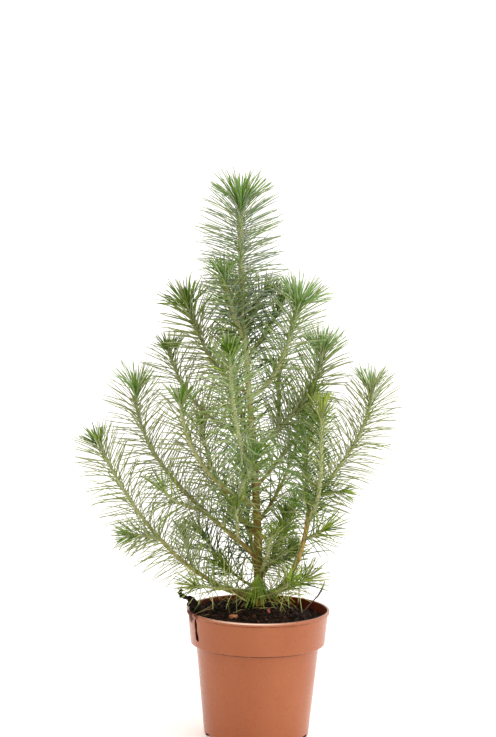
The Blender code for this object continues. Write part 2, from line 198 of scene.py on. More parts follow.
def emboss(tree, shader, source, strength, distance):
    bump = addNode(tree, "Bump", {"Strength": strength, "Distance": distance, "Height": source})
    tree.links.new(bump.outputs["Normal"], shader.inputs["Normal"])


def grainyStuff(name, gloss, roughness, mottling, stops, relief, depth):
    # a mottled colour with a fine relief
    material, tree, shader = newMaterial(name, *gloss)
    colour = ramp(tree, grain(tree, *mottling), stops)
    wire(tree, shader, {"Base Color": colour, "Roughness": roughness})
    emboss(tree, shader, grain(tree, *relief), *depth)
    return material


# Mesh helpers

def unit(vectors):
    return vectors / np.linalg.norm(vectors, axis=-1, keepdims=True)


def wayTo(bearing, rise=0.0):
    return np.array((cos(bearing) * cos(rise), sin(bearing) * cos(rise), sin(rise)))


class Heap:
    # points and faces gathered for one joined piece

    def __init__(self):
        self.points = []
        self.faces = []
        self.ages = []
        self.count = 0

    def add(self, points, faces, ages=0.0):
        points = np.reshape(points, (-1, 3))
        self.points.append(points)
        self.ages.append(np.ones(len(points)) * ages)
        for block in faces:
            self.faces += (np.asarray(block) + self.count).tolist()
        self.count += len(points)


def makePiece(name, slot, nodes, heap, *materials):
    mesh = bpy.data.meshes.new(name)
    mesh.from_pydata(np.concatenate(heap.points).tolist(), [], heap.faces)
    age = mesh.attributes.new("age", "FLOAT", "POINT")
    age.data.foreach_set("value", np.concatenate(heap.ages).astype(np.float32))
    mesh.shade_smooth()
    for material in materials:
        mesh.materials.append(material)
    piece = putDown(name, mesh)
    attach(piece, "root")
    if nodes:
        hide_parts(*sorted(nodes))
    return piece


def ring(radius, height, around):
    turns = np.arange(around) / around * tau
    return [(radius * cos(turn), radius * sin(turn), height) for turn in turns]


def ringFaces(rings, around):
    # quads between rings of points that are stored one after another
    low = np.arange(rings - 1)[:, None] * around
    turn = np.arange(around)
    following = (turn + 1) % around
    corners = (low + turn, low + following, low + around + following, low + around + turn)
    return np.stack(corners, -1).reshape(-1, 4)


def fanFaces(ring, middle, backward):
    # triangles from a ring of points to one middle point
    following = np.roll(ring, -1)
    middles = np.full(len(ring), middle)
    order = (following, ring, middles) if backward else (ring, following, middles)
    return np.stack(order, -1)


def capped(rings, around, ends, flipped=False):
    # the closed skin of a stack of rings, with a middle point at each end
    points = np.vstack((np.reshape(rings, (-1, 3)), ends))
    last = len(points) - 2
    rows = ringFaces(last // around, around)
    first = fanFaces(np.arange(around), last, not flipped)
    final = fanFaces(np.arange(last - around, last), last + 1, flipped)
    return points, (rows[:, ::-1] if flipped else rows, first, final)


# Floor, light and sky

studio = dict(
    floorRadius=40.0,
    floorSides=96,
    floorColour=(0.92, 0.92, 0.92),
    floorMottle=0.985,  # how much darker its dark patches are
    floorGlow=0.2,  # the table is lit from below too, which thins its shadows
    skyFront=0.6,  # brightness of the white room behind the camera
    skyBack=1.25,  # and behind the plant
    skyTop=0.6,  # added straight above
    skyRight=0.15,  # added on the right and taken off on the left
    warmWall=((1.0, 0.7, 0.42), -0.4, -0.75),  # the wall far to the left, and where it begins
    # place, width and height, watts
    lamps=(((1.9, -0.7, 0.65), (1.3, 1.3), 16), ((-2.1, -0.7, 0.9), (1.1, 1.1), 2)),
    aim=(0.0, 0.0, 0.22),
)


def floorPaint():
    material, tree, shader = newMaterial("paleFloor", 0.2)
    pale = studio["floorColour"]
    off = tuple(channel * studio["floorMottle"] for channel in pale)
    wire(tree, shader, {
        "Base Color": ramp(tree, grain(tree, 3.0), ((0.3, off), (0.7, pale))),
        "Roughness": 0.9,
        "Emission Color": (1, 1, 1),
        "Emission Strength": studio["floorGlow"],
    })
    return material


def buildStudio():
    mesh = bpy.data.meshes.new("floor")
    sides = studio["floorSides"]
    mesh.from_pydata(ring(studio["floorRadius"], 0.0, sides), [], [range(sides)])
    mesh.materials.append(floorPaint())
    floor = putDown("floor", mesh)
    for index, (place, size, watts) in enumerate(studio["lamps"]):
        data = bpy.data.lights.new("softbox%d" % index, "AREA")
        data.shape = "RECTANGLE"
        data.size, data.size_y = size
        data.energy = watts
        lamp = putDown(data.name, data)
        lamp.location = place
        aim = Vector(studio["aim"]) - Vector(place)
        lamp.rotation_euler = aim.to_track_quat("-Z", "Y").to_euler()
    world = bpy.data.worlds.new("whiteRoom")
    world.use_nodes = True
    tree = world.node_tree
    toward = addNode(tree, "TexCoord", {}).outputs["Generated"]
    x, y, z = addNode(tree, "SeparateXYZ", {"Vector": toward}).outputs
    wall, begins, ends = studio["warmWall"]
    level = rerange(tree, y, -1.0, 1.0, studio["skyFront"], studio["skyBack"])
    above = rerange(tree, z, 0.0, 1.0, 0.0, studio["skyTop"])
    aside = times(tree, x, studio["skyRight"])
    wire(tree, tree.nodes["Background"], {
        "Color": ramp(tree, rerange(tree, x, ends, begins), ((0.0, wall), (1.0, (1.0, 1.0, 1.0)))),
        "Strength": plus(tree, plus(tree, level, above), aside),
    })
    bpy.context.scene.world = world
    bpy.context.scene.view_settings.view_transform = "Standard"


buildStudio()
print("camera, floor and light set")


# Pot: a thin moulded shell with a rolled lip, a deep band and slots round its foot

pot = dict(
    height=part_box("pot")[1].z,
    rim=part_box("pot")[1].x,
    lipDepth=0.003,
    bandDepth=0.031,
    bandTop=0.0636,
    innerTop=0.0628,
    bandFoot=0.061,
    body=0.0559,
    foot=0.0475,
    footRound=0.0012,
    wall=0.0014,
    floor=0.0018,
    groove=0.0004,
    around=192,
    slots=8,
    slotSize=(0.006, 0.011, 0.0034),  # depth, width, height
    crackBearing=207.5,
    crackTop=0.1118,
    crackDepth=0.021,
    # the split's half width, by the share of its depth
    crack=((0.0, 0.0011), (0.25, 0.0026), (0.5, 0.0019), (0.8, 0.003), (0.94, 0.0024), (1.0, 0.0)),
    crackDrift=0.0014,  # how far its foot stands aside
    crackBend=0.6,
    crackReach=(0.056, 0.068),  # radii between which the wall is cut
    crackSide=4,  # degrees to each side in which a face may be a broken edge
    crackTurn=0.7,  # and it is one if it looks outward less than this
    liningTop=0.0008,  # how far below the rim the damp inside, with its painted shade, begins
    sharpAngle=40,
)
pot["step"] = pot["height"] - pot["bandDepth"]  # height of the band's lower edge


def innerRadius(height):
    if height < pot["step"]:
        return pot["foot"] + (pot["body"] - pot["foot"]) * height / pot["step"] - pot["wall"]
    low = pot["bandFoot"] - pot["wall"]
    return low + (pot["innerTop"] - low) * ((height - pot["step"]) / pot["bandDepth"])


def rounded(corners):
    # corners: (radius, height, rounding); each rounding becomes a short arc
    outline = []
    for index, (radius, height, rounding) in enumerate(corners):
        here = Vector((radius, height))
        if rounding == 0:
            outline.append(here)
            continue
        before = (Vector(corners[index - 1][:2]) - here).normalized()
        after = (Vector(corners[index + 1][:2]) - here).normalized()
        start = here + before * rounding
        end = here + after * rounding
        for step in range(4):
            share = step / 3
            outline.append(start.lerp(here, share).lerp(here.lerp(end, share), share))
    return outline


def potOutline():
    top, step, wall, rim = pot["height"], pot["step"], pot["wall"], pot["rim"]
    foot, body, floor = pot["foot"], pot["body"], pot["floor"]
    lipFoot = top - pot["lipDepth"]
    return rounded((
        (0.0, 0.0, 0),
        (foot - pot["footRound"], 0.0, 0.0005),
        (foot, pot["footRound"], 0.0006),
        (foot + (body - foot) * 0.5, step * 0.5, 0.001),
        (body, step - wall / 2 - pot["groove"], 0.0003),
        (body + pot["groove"], step - wall / 2, 0.0002),
        (pot["bandFoot"], step, 0.0006),
        (pot["bandTop"], lipFoot - wall / 2, 0.0003),
        (rim, lipFoot, 0.0005),
        (rim, top, 0.001),
        (innerRadius(top), top, 0.0006),
        (innerRadius(step), step + wall, 0.0006),
        (innerRadius(step - wall) - wall / 2, step - wall, 0.0006),
        (innerRadius(floor), floor, 0.0006),
        (0.0, floor, 0),
    ))


def potCutter():
    shape = bmesh.new()
    depth, width, height = pot["slotSize"]
    size = Matrix.Diagonal((2 * depth, width, 2 * height, 1))
    for slot in range(pot["slots"]):
        turn = Matrix.Rotation(tau * (slot + 0.5) / pot["slots"], 4, "Z")
        place = Matrix.Translation((pot["foot"], 0, 0))
        bmesh.ops.create_cube(shape, size=1.0, matrix=turn @ place @ size)
    # the split in the band: a slanting, pointed slit
    outward = Vector(wayTo(radians(pot["crackBearing"])))
    across = Vector((-outward.y, outward.x, 0))
    left, right = [], []
    for share, half in pot["crack"]:
        drift = pot["crackDrift"] * (share - pot["crackBend"] * sin(pi * share))
        middle = across * drift + Vector((0, 0, pot["crackTop"] - pot["crackDepth"] * share))
        left.append(middle + across * half)
        right.append(middle - across * half)
    outline = left + right[-2::-1]
    near, far = (
        [shape.verts.new(point + outward * reach) for point in outline]
        for reach in pot["crackReach"]
    )
    shape.faces.new(near)
    shape.faces.new(far[::-1])
    for index in range(len(outline)):
        after = (index + 1) % len(outline)
        shape.faces.new((near[after], near[index], far[index], far[after]))
    bmesh.ops.recalc_face_normals(shape, faces=shape.faces)
    mesh = bpy.data.meshes.new("potCutter")
    shape.to_mesh(mesh)
    shape.free()
    return putDown("potCutter", mesh)


potPaint = dict(
    # dark to pale patches of the plastic
    clay=((0.3, (0.318, 0.082, 0.027)), (0.52, (0.34, 0.092, 0.031)), (0.75, (0.366, 0.107, 0.039))),
    # the inside: damp plastic, made darker still as painted shade
    dampAndShade=((0.35, (0.06, 0.009, 0.005)), (0.62, (0.165, 0.024, 0.01))),
    # dirt and painted shadow, for the lines below
    dirtAndShadow=(0.03, 0.005, 0.003),
    # broken lines of dirt and painted shadow under the band and under the lip: height and reach
    dirtAndShadowLines=((pot["step"] - 0.0013, 0.001), (pot["height"] - pot["lipDepth"] - 0.0004, 0.0007)),
    # the pale painted highlight on the front of the lip: its colour, height and reach, and the stretch
    # that has it
    paintedLipHighlight=((0.86, 0.62, 0.5), 0.1154, 0.001, (-0.01, -0.066, 0.1155), 0.046),
    sheen=(0.9, 0.86, 0.72),
    roughness=(0.24, 0.32),
    # wet soil: where, how far it reaches, and how much of that it covers
    soil=(0.085, 0.013, 0.006),
    smears=(
        ((-0.0615, -0.019, 0.115), 0.015, 1.1),
        ((-0.056, -0.032, 0.1145), 0.01, 0.7),
        ((-0.0377, -0.053, 0.1124), 0.0016, 1.6),
        ((0.0314, -0.0569, 0.1124), 0.0014, 1.6),
        ((-0.0466, -0.0125, 0.0093), 0.0014, 1.6),
    ),
)


def potPlastic():
    material, tree, shader = newMaterial("pottedClayPlastic", 0.5, potPaint["sheen"])
    colour = ramp(tree, grain(tree, 26.0, 4.0, (1, 1, 0.55)), potPaint["clay"])
    broken = rerange(tree, grain(tree, 170.0, 3.0, (1, 1, 0.3)), 0.34, 0.46)
    # dark broken lines of dirt and painted shadow under the band and under the lip
    for height, reach in potPaint["dirtAndShadowLines"]:
        share = times(tree, nearHeight(tree, height, reach), broken)
        colour = blendColours(tree, share, colour, potPaint["dirtAndShadow"])
    # a painted highlight along the lip's top edge, on the front only
    paintedLipHighlight, height, reach, place, stretch = potPaint["paintedLipHighlight"]
    patchy = times(tree, nearPoint(tree, place, stretch), 1.6)
    share = times(tree, nearHeight(tree, height, reach), patchy)
    colour = blendColours(tree, share, colour, paintedLipHighlight)
    dullness = rerange(tree, grain(tree, 60.0, 5.0), 0.3, 0.7, *potPaint["roughness"])
    spread = rerange(tree, grain(tree, 260.0, 5.0), 0.3, 0.7)
    for place, reach, cover in potPaint["smears"]:
        wet = times(tree, nearPoint(tree, place, reach), plus(tree, spread, cover))
        share = rerange(tree, wet, 0.55, 0.85)
        colour = blendColours(tree, share, colour, potPaint["soil"])
        dullness = plus(tree, dullness, times(tree, share, 0.5))
    wire(tree, shader, {"Base Color": colour, "Roughness": dullness})
    emboss(tree, shader, grain(tree, 900.0, 2.0, (1, 1, 0.25)), 0.05, 0.0002)
    return material


# the inside of the pot: damp, and darkened as painted shade
def potInside():
    gloss, dampAndShade = (0.08, potPaint["sheen"]), potPaint["dampAndShade"]
    return grainyStuff("dampAndShadedPotInside", gloss, 0.6, (70.0, 4.0), dampAndShade, (500.0, 3.0), (0.2, 0.0003))


def buildPot():
    outline = potOutline()
    around = pot["around"]
    rings = [ring(point.x, point.y, around) for point in outline[1:-1]]
    heap = Heap()
    heap.add(*capped(rings, around, [(0, 0, outline[0].y), (0, 0, outline[-1].y)]))
    piece = makePiece("pot_shell", "pot", ["pot"], heap, potPlastic(), potInside())
    cutter = potCutter()
    cut = piece.modifiers.new("slotsAndCrack", "BOOLEAN")
    cut.operation = "DIFFERENCE"
    cut.solver = "EXACT"
    cut.object = cutter
    bpy.context.view_layer.update()
    drawn = piece.evaluated_get(bpy.context.evaluated_depsgraph_get())
    mesh = bpy.data.meshes.new_from_object(drawn)
    piece.modifiers.clear()
    piece.data = mesh
    bpy.data.objects.remove(cutter, do_unlink=True)
    crackHalf = pot["crackDepth"] / 2
    for face in mesh.polygons:
        x, y, z = face.center
        outward = face.normal.x * x + face.normal.y * y
        inside = hypot(x, y) < innerRadius(z) + pot["wall"] * 0.4
        # faces of the inside below the rim take the damp inside with painted shade
        dark = outward < 0 and inside and z < pot["height"] - pot["liningTop"]
        # the broken edges of the split are as dark as the inside: painted shade in the slit
        aside = degrees(atan2(y, x)) % 360 - pot["crackBearing"]
        if abs(aside) < pot["crackSide"] and abs(z - pot["crackTop"] + crackHalf) < crackHalf - 0.0001:
            dark = dark or outward / pot["bandTop"] < pot["crackTurn"]
        face.material_index = int(dark)
    mesh.set_sharp_from_angle(angle=radians(pot["sharpAngle"]))


buildPot()
print("pot built")


# Peat: heaped round the stem, up to the rim on the left and low on the right

peat = dict(
    top=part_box("soil")[1].z,
    flat=0.012,
    edgeDrop=0.0085,
    clear=0.0003,
    rings=74,
    around=260,
    lumps=((150, 0.0017), (330, 0.001), (800, 0.0005)),  # cells to a metre, height
    swells=(70, 0.001),
    highSide=196,  # bearing of the heaped side
    heap=0.0032,
    aboveRim=0.0015,  # how far it may stand above the rim at its edge
    crumbs=1300,
    crumbSize=(0.0005, 0.002),
    crumbSquash=(0.45, 0.9),
    crumbRoughness=0.22,
    redShare=0.16,  # on the left, and as much again on the right
    paleShare=0.07,
    paleSize=0.55,
)
peat["edge"] = innerRadius(peat["top"] - peat["edgeDrop"]) - peat["clear"]


def peatHeight(x, y):
    radius = hypot(x, y)
    share = min(1.0, max(0.0, radius - peat["flat"]) / (peat["edge"] - peat["flat"]))
    level = peat["top"] - peat["edgeDrop"] * sin(pi / 2 * share) ** 2
    level += peat["heap"] * cos(atan2(y, x) - radians(peat["highSide"])) * share
    for scale, height in peat["lumps"]:
        gap = noise.voronoi(Vector((x * scale, y * scale, 0.3)))[0][0]
        level += height * (0.55 - gap)
    scale, height = peat["swells"]
    level += height * noise.noise(Vector((x * scale, y * scale, 1.7)))
    return min(level, pot["height"] + peat["aboveRim"]) if radius > peat["edge"] * 0.97 else level


peatPaint = dict(
    black=(0.0045, 0.0028, 0.002),
    brown=(0.026, 0.014, 0.009),
    red=(0.105, 0.036, 0.02),
    pale=(0.26, 0.19, 0.14),
    chip=(0.36, 0.125, 0.055),
    chipEdge=(0.55, 0.24, 0.13),
    flake=(0.34, 0.075, 0.062),
    flakeEdge=(0.52, 0.17, 0.13),
)


def peatStuff(name, stops, roughness=0.92):
    # stops: (position, name of a colour) pairs
    stops = [(position, peatPaint[colour]) for position, colour in stops]
    return grainyStuff(name, (0.12,), roughness, (330.0, 6.0), stops, (1500.0, 4.0), (0.6, 0.0004))


def buildPeat():
    around, clear, step, wall = peat["around"], peat["clear"], pot["step"], pot["wall"]
    rings = []
    for share in np.arange(1, peat["rings"] + 1) / peat["rings"]:
        circle = ring(peat["edge"] * share ** 0.9, 0.0, around)
        rings.append([(x, y, peatHeight(x, y)) for x, y, _ in circle])
    foot = pot["floor"] + clear
    rings.append(ring(innerRadius(step) - clear, step + wall, around))
    rings.append(ring(innerRadius(step - wall) - wall / 2 - clear, step - wall, around))
    rings.append(ring(innerRadius(pot["floor"]) - clear, foot, around))
    heap = Heap()
    heap.add(*capped(rings, around, [(0, 0, peatHeight(0, 0)), (0, 0, foot)], True))
    stuff = peatStuff("moistPeat", ((0.38, "black"), (0.58, "brown"), (0.74, "red")))
    makePiece("peat_bed", "peat", ["soil"], heap, stuff)


def ballPoints(subdivisions):
    shape = bmesh.new()
    bmesh.ops.create_icosphere(shape, subdivisions=subdivisions, radius=1.0)
    points = np.array([vert.co for vert in shape.verts])
    faces = np.array([[vert.index for vert in face.verts] for face in shape.faces])
    shape.free()
    return points, faces


crumbBall = ballPoints(2)
slabBall = ballPoints(3)


def lump(heap, place, size, squash, roughen):
    # one crumb: a ball pulled out of round, turned at random
    ball, faces = crumbBall
    angle = dice.uniform(0, tau)
    axis = Vector(dice.normal(size=3)).normalized()
    turn = np.array(Matrix.Rotation(angle, 3, axis))
    scale = size * np.array((1.0, dice.uniform(0.6, 1.0), squash))
    swell = 1 + roughen * dice.uniform(-1, 1, len(ball))[:, None]
    heap.add(np.array(place) + (ball * swell * scale) @ turn.T, (faces,))


def buildCrumbs():
    dark, red, pale = Heap(), Heap(), Heap()
    smallest, largest = peat["crumbSize"]
    for index in range(peat["crumbs"]):
        radius = peat["edge"] * 0.98 * sqrt(dice.uniform(0.004, 1))
        turn = dice.uniform(0, tau)
        x, y = radius * cos(turn), radius * sin(turn)
        size = smallest + (largest - smallest) * dice.uniform() ** 3
        heap = red if dice.uniform() < peat["redShare"] * (1 + (x > 0)) else dark
        if dice.uniform() < peat["paleShare"]:
            heap = pale
            size *= peat["paleSize"]
        place = (x, y, peatHeight(x, y) + size * 0.3)
        lump(heap, place, size, dice.uniform(*peat["crumbSquash"]), peat["crumbRoughness"])
    for name, heap, stuff, under, over in (
        ("peat_crumbs", dark, "blackCrumbs", "black", "brown"),
        ("peat_red_crumbs", red, "redCrumbs", "brown", "red"),
        ("peat_pale_crumbs", pale, "paleCrumbs", "red", "pale"),
    ):
        makePiece(name, "peat", [], heap, peatStuff(stuff, ((0.35, under), (0.65, over))))


litter = dict(
    # scraps of bark: place, half sizes, turn in degrees
    scraps=dict(
        chip=((-0.0217, -0.0339), (0.0044, 0.0022, 0.0016), 25),
        flake=((0.0093, -0.0214), (0.0016, 0.0036, 0.0005), 8),
    ),
    # the dead curled strip over the left rim: x, y, z and half thickness
    strip=(
        (-0.0545, -0.013, 0.117, 0.0036),
        (-0.0572, -0.0126, 0.12, 0.0047),
        (-0.0592, -0.0122, 0.124, 0.0045),
        (-0.0612, -0.0122, 0.1268, 0.0034),
        (-0.064, -0.0124, 0.1276, 0.0022),
        (-0.0668, -0.0126, 0.1282, 0.0022),
        (-0.0692, -0.0126, 0.1292, 0.0023),
        (-0.0707, -0.0124, 0.1314, 0.0022),
        (-0.0704, -0.0122, 0.1337, 0.0019),
        (-0.069, -0.0122, 0.1349, 0.0012),
    ),
    stripEnd=((-0.06, -0.013, 0.1225, 0.003), (-0.0636, -0.0128, 0.1212, 0.0018)),
    stripStep=0.0005,
    stripJitter=0.00025,
    stripSize=(0.75, 1.05),
    stripSquash=(0.55, 0.9),
    stripRoughness=0.16,
)


def chainOfLumps(heap, path):
    # lumps set close along a path, so that they read as one gnarled strip
    for first, second in zip(path, path[1:]):
        start, end = np.array(first), np.array(second)
        steps = max(2, round(np.linalg.norm((end - start)[:3]) / litter["stripStep"]))
        for share in np.linspace(0, 1, steps, endpoint=False):
            here = start + (end - start) * share
            place = here[:3] + dice.normal(0, litter["stripJitter"], 3)
            size = here[3] * dice.uniform(*litter["stripSize"])
            lump(heap, place, size, dice.uniform(*litter["stripSquash"]), litter["stripRoughness"])


def slab(heap, place, sizes, turn):
    # a flat scrap with broken edges, lying on the peat
    ball, faces = slabBall
    rough = np.array([noise.noise(Vector(point) * 1.7 + Vector(place * 90)) for point in ball])
    flat = np.sign(ball) * np.abs(ball) ** 0.6 * (1 + 0.2 * rough[:, None]) * np.array(sizes)
    spin = np.array(Matrix.Rotation(radians(turn), 3, "Z") @ Matrix.Rotation(0.25, 3, "X"))
    heap.add(flat @ spin.T + place, (faces,))


# the dark dead needle that leans out over the right rim: x, y, z and half thickness
deadNeedle = dict(
    path=(
        (0.0425, 0.005, 0.114, 0.00035),
        (0.0458, 0.0044, 0.1184, 0.0004),
        (0.0495, 0.004, 0.1226, 0.0005),
        (0.0542, 0.0038, 0.1276, 0.00075),
        (0.0575, 0.0036, 0.1334, 0.00085),
        (0.0594, 0.0034, 0.1385, 0.0006),
        (0.0602, 0.0034, 0.1418, 0.00025),
    ),
    dark=(0.085, 0.08, 0.072),
    pale=(0.3, 0.18, 0.145),
    paleBelow=(0.116, 0.128),
)


def buildDeadNeedle():
    path = np.array(deadNeedle["path"])
    limb = Limb(path[:, :3], path[:, 3])
    heap = Heap()
    addTube(heap, limb, 0.0, limb.length, "deadNeedle", evenAge(0.3))
    material, tree, shader = newMaterial("deadNeedle", 0.3)
    stain = rerange(tree, grain(tree, 400.0), 0.3, 0.7, -0.2, 0.2)
    share = plus(tree, rerange(tree, heightOf(tree), *deadNeedle["paleBelow"]), stain)
    tint = ramp(tree, share, ((0.0, deadNeedle["pale"]), (1.0, deadNeedle["dark"])))
    wire(tree, shader, {"Base Color": tint, "Roughness": 0.7})
    makePiece("dead_needle", "needles", [], heap, material)


def buildLitter():
    strip = Heap()
    chainOfLumps(strip, litter["strip"])
    chainOfLumps(strip, litter["stripEnd"])
    stuff = peatStuff("deadScrap", ((0.4, "black"), (0.7, "brown")), 0.8)
    makePiece("scrap_over_rim", "peat", [], strip, stuff)
    for name, ((x, y), sizes, turn) in litter["scraps"].items():
        heap = Heap()
        slab(heap, np.array((x, y, peatHeight(x, y) + sizes[2] * 0.9)), sizes, turn)
        stuff = peatStuff(name + "Bark", ((0.35, name), (0.62, name + "Edge")), 0.75)
        makePiece("bark_" + name, "bark", [], heap, stuff)


buildPeat()
buildCrumbs()
buildLitter()
print("peat laid")


# Limbs: the rule and the sizes of the solids, carried finer

trunk = dict(
    foot=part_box("trunk")[0].z,
    tip=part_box("trunk")[1].z,
    sunk=0.004,  # how far the bark runs on into the peat
    footRadius=0.0045,
    tipRadius=0.0022,
    taperPower=2.2,
    lean=0.0214,
    straightFoot=0.006,
    bow=0.003,
    flare=0.0013,
    flareHeight=0.008,
    leaderTop=0.486,
    plump=0.5,  # how much stouter the soft leader is than its wood
    plumpOver=0.05,
    points=160,
)

limbSizes = dict(
    thick=0.0013,
    thickPerLength=0.005,
    tip=0.0012,
    carrier=(0.0022, 0.0018),  # foot and tip of the bare bough that carries three shoots
    childShare=0.8,
    handle=0.34,
    points=48,
    probe=0.0005,
)

# what each shoot grows from and where, its bearing, reach and rise, the angles
# above level at its foot and tip, and its share of bare bough
Shoot = namedtuple("Shoot", "parent at bearing reach rise leave arrive bare", defaults=(0.0,))

shoots = dict(
    left_low=Shoot("trunk", 0.126, 188, 0.146, 0.142, 10, 65, 0.22),
    right_low=Shoot("trunk", 0.131, -12, 0.045, 0.08, -12, 88, 1.0),
    back_low=Shoot("trunk", 0.141, 98, 0.098, 0.088, 15, 70, 0.22),
    left_back=Shoot("trunk", 0.135, 143, 0.07, 0.046, 5, 45, 0.2),
    left_foot=Shoot("trunk", 0.13, 222, 0.078, 0.017, 18, 15, 0.2),
    right_foot=Shoot("trunk", 0.124, -54, 0.05, 0.026, 22, 38),
    inner_right=Shoot("trunk", 0.142, 38, 0.03, 0.06, 45, 85),
    inner_front=Shoot("trunk", 0.148, -62, 0.026, 0.042, 35, 65),
    foot_tuft=Shoot("trunk", 0.134, 268, 0.012, 0.003, 25, 0),
    left_mid=Shoot("trunk", 0.163, 176, 0.113, 0.152, 40, 92, 0.24),
    mid_spur=Shoot("left_mid", 0.12, 262, 0.016, 0.036, 45, 80),
    front_mid=Shoot("left_mid", 0.22, 312, 0.044, 0.072, 55, 65),
    right_spur=Shoot("right_low", 0.72, -42, 0.023, 0.012, 15, 40),
    right_thin=Shoot("right_low", 0.86, -50, 0.018, 0.104, 45, 85),
    right_fork=Shoot("right_low", 1.0, 12, 0.056, 0.108, 55, 92),
    back_left=Shoot("trunk", 0.184, 130, 0.084, 0.092, 20, 75, 0.2),
    back_right=Shoot("trunk", 0.196, 62, 0.088, 0.088, 20, 72, 0.2),
    left_inner=Shoot("trunk", 0.211, 200, 0.073, 0.097, 18, 90, 0.2),
    right_inner=Shoot("trunk", 0.227, 32, 0.06, 0.058, 40, 38, 0.2),
    front_high=Shoot("trunk", 0.239, 250, 0.071, 0.121, 25, 80, 0.16),
    right_mid=Shoot("trunk", 0.261, 12, 0.062, 0.089, 38, 88, 0.18),
    back_high=Shoot("trunk", 0.268, 108, 0.068, 0.08, 20, 75, 0.2),
    left_high=Shoot("trunk", 0.278, 160, 0.081, 0.07, -8, 78, 0.16),
    right_high=Shoot("trunk", 0.31, -14, 0.044, 0.086, 25, 76, 0.16),
    left_top=Shoot("trunk", 0.313, 172, 0.057, 0.078, 22, 70, 0.14),
    right_top=Shoot("trunk", 0.342, 28, 0.034, 0.054, 60, 78),
    back_top=Shoot("trunk", 0.35, 102, 0.036, 0.052, 40, 75),
    top_left=Shoot("trunk", 0.361, 215, 0.024, 0.06, 55, 76),
    top_right=Shoot("trunk", 0.369, 38, 0.023, 0.034, 55, 40),
)

# from right_mid_a on, finer than the solids carry them
twigs = dict(
    left_low_a=Shoot("left_low", 0.5, 203, 0.031, 0.007, 30, 5),
    left_low_b=Shoot("left_low", 0.3, 150, 0.013, 0.035, 50, 75),
    left_mid_a=Shoot("left_mid", 0.32, 206, 0.043, 0.024, 25, 60),
    right_fork_a=Shoot("right_fork", 0.12, -12, 0.023, 0.004, 25, 5),
    right_mid_a=Shoot("right_mid", 0.45, -30, 0.022, 0.022, 30, 75),
    right_mid_b=Shoot("right_mid", 0.28, 95, 0.016, 0.05, 60, 84),
    right_thin_a=Shoot("right_thin", 0.05, 110, 0.012, 0.072, 60, 88),
    left_back_a=Shoot("left_back", 0.35, 215, 0.014, 0.01, 30, 60),
    inner_right_a=Shoot("inner_right", 0.25, -8, 0.024, 0.014, 25, 60),
    inner_right_b=Shoot("inner_right", 0.5, 60, 0.016, 0.014, 40, 70),
    inner_right_c=Shoot("inner_right", 0.72, -5, 0.012, 0.03, 50, 86),
    inner_front_a=Shoot("inner_front", 0.3, -5, 0.024, 0.017, 25, 55),
    right_foot_a=Shoot("right_foot", 0.55, -12, 0.028, 0.014, 20, 35),
    foot_tuft_a=Shoot("foot_tuft", 0.0, 262, 0.008, 0.015, 80, 10),
)

# how a shoot grows: the main tone of its needles and the tone at its tip, their
# length and how far apart they stand, as shares, their tuft, how stout the stem is,
# the age of its bark, and how wide, how far out and how far down the needles go.
# A tuft is the number of needles, their widest angle, and the share of the full
# length that the outer and the inner ones have
Habit = namedtuple(
    "Habit",
    "tone core scale apart tuft stout age fine open droop",
    defaults=("leaf", "fresh", 1.0, 1.0, (20, 54, 0.76, 0.5), 1.12, 1.0, 1.0, 61, 0.0),
)

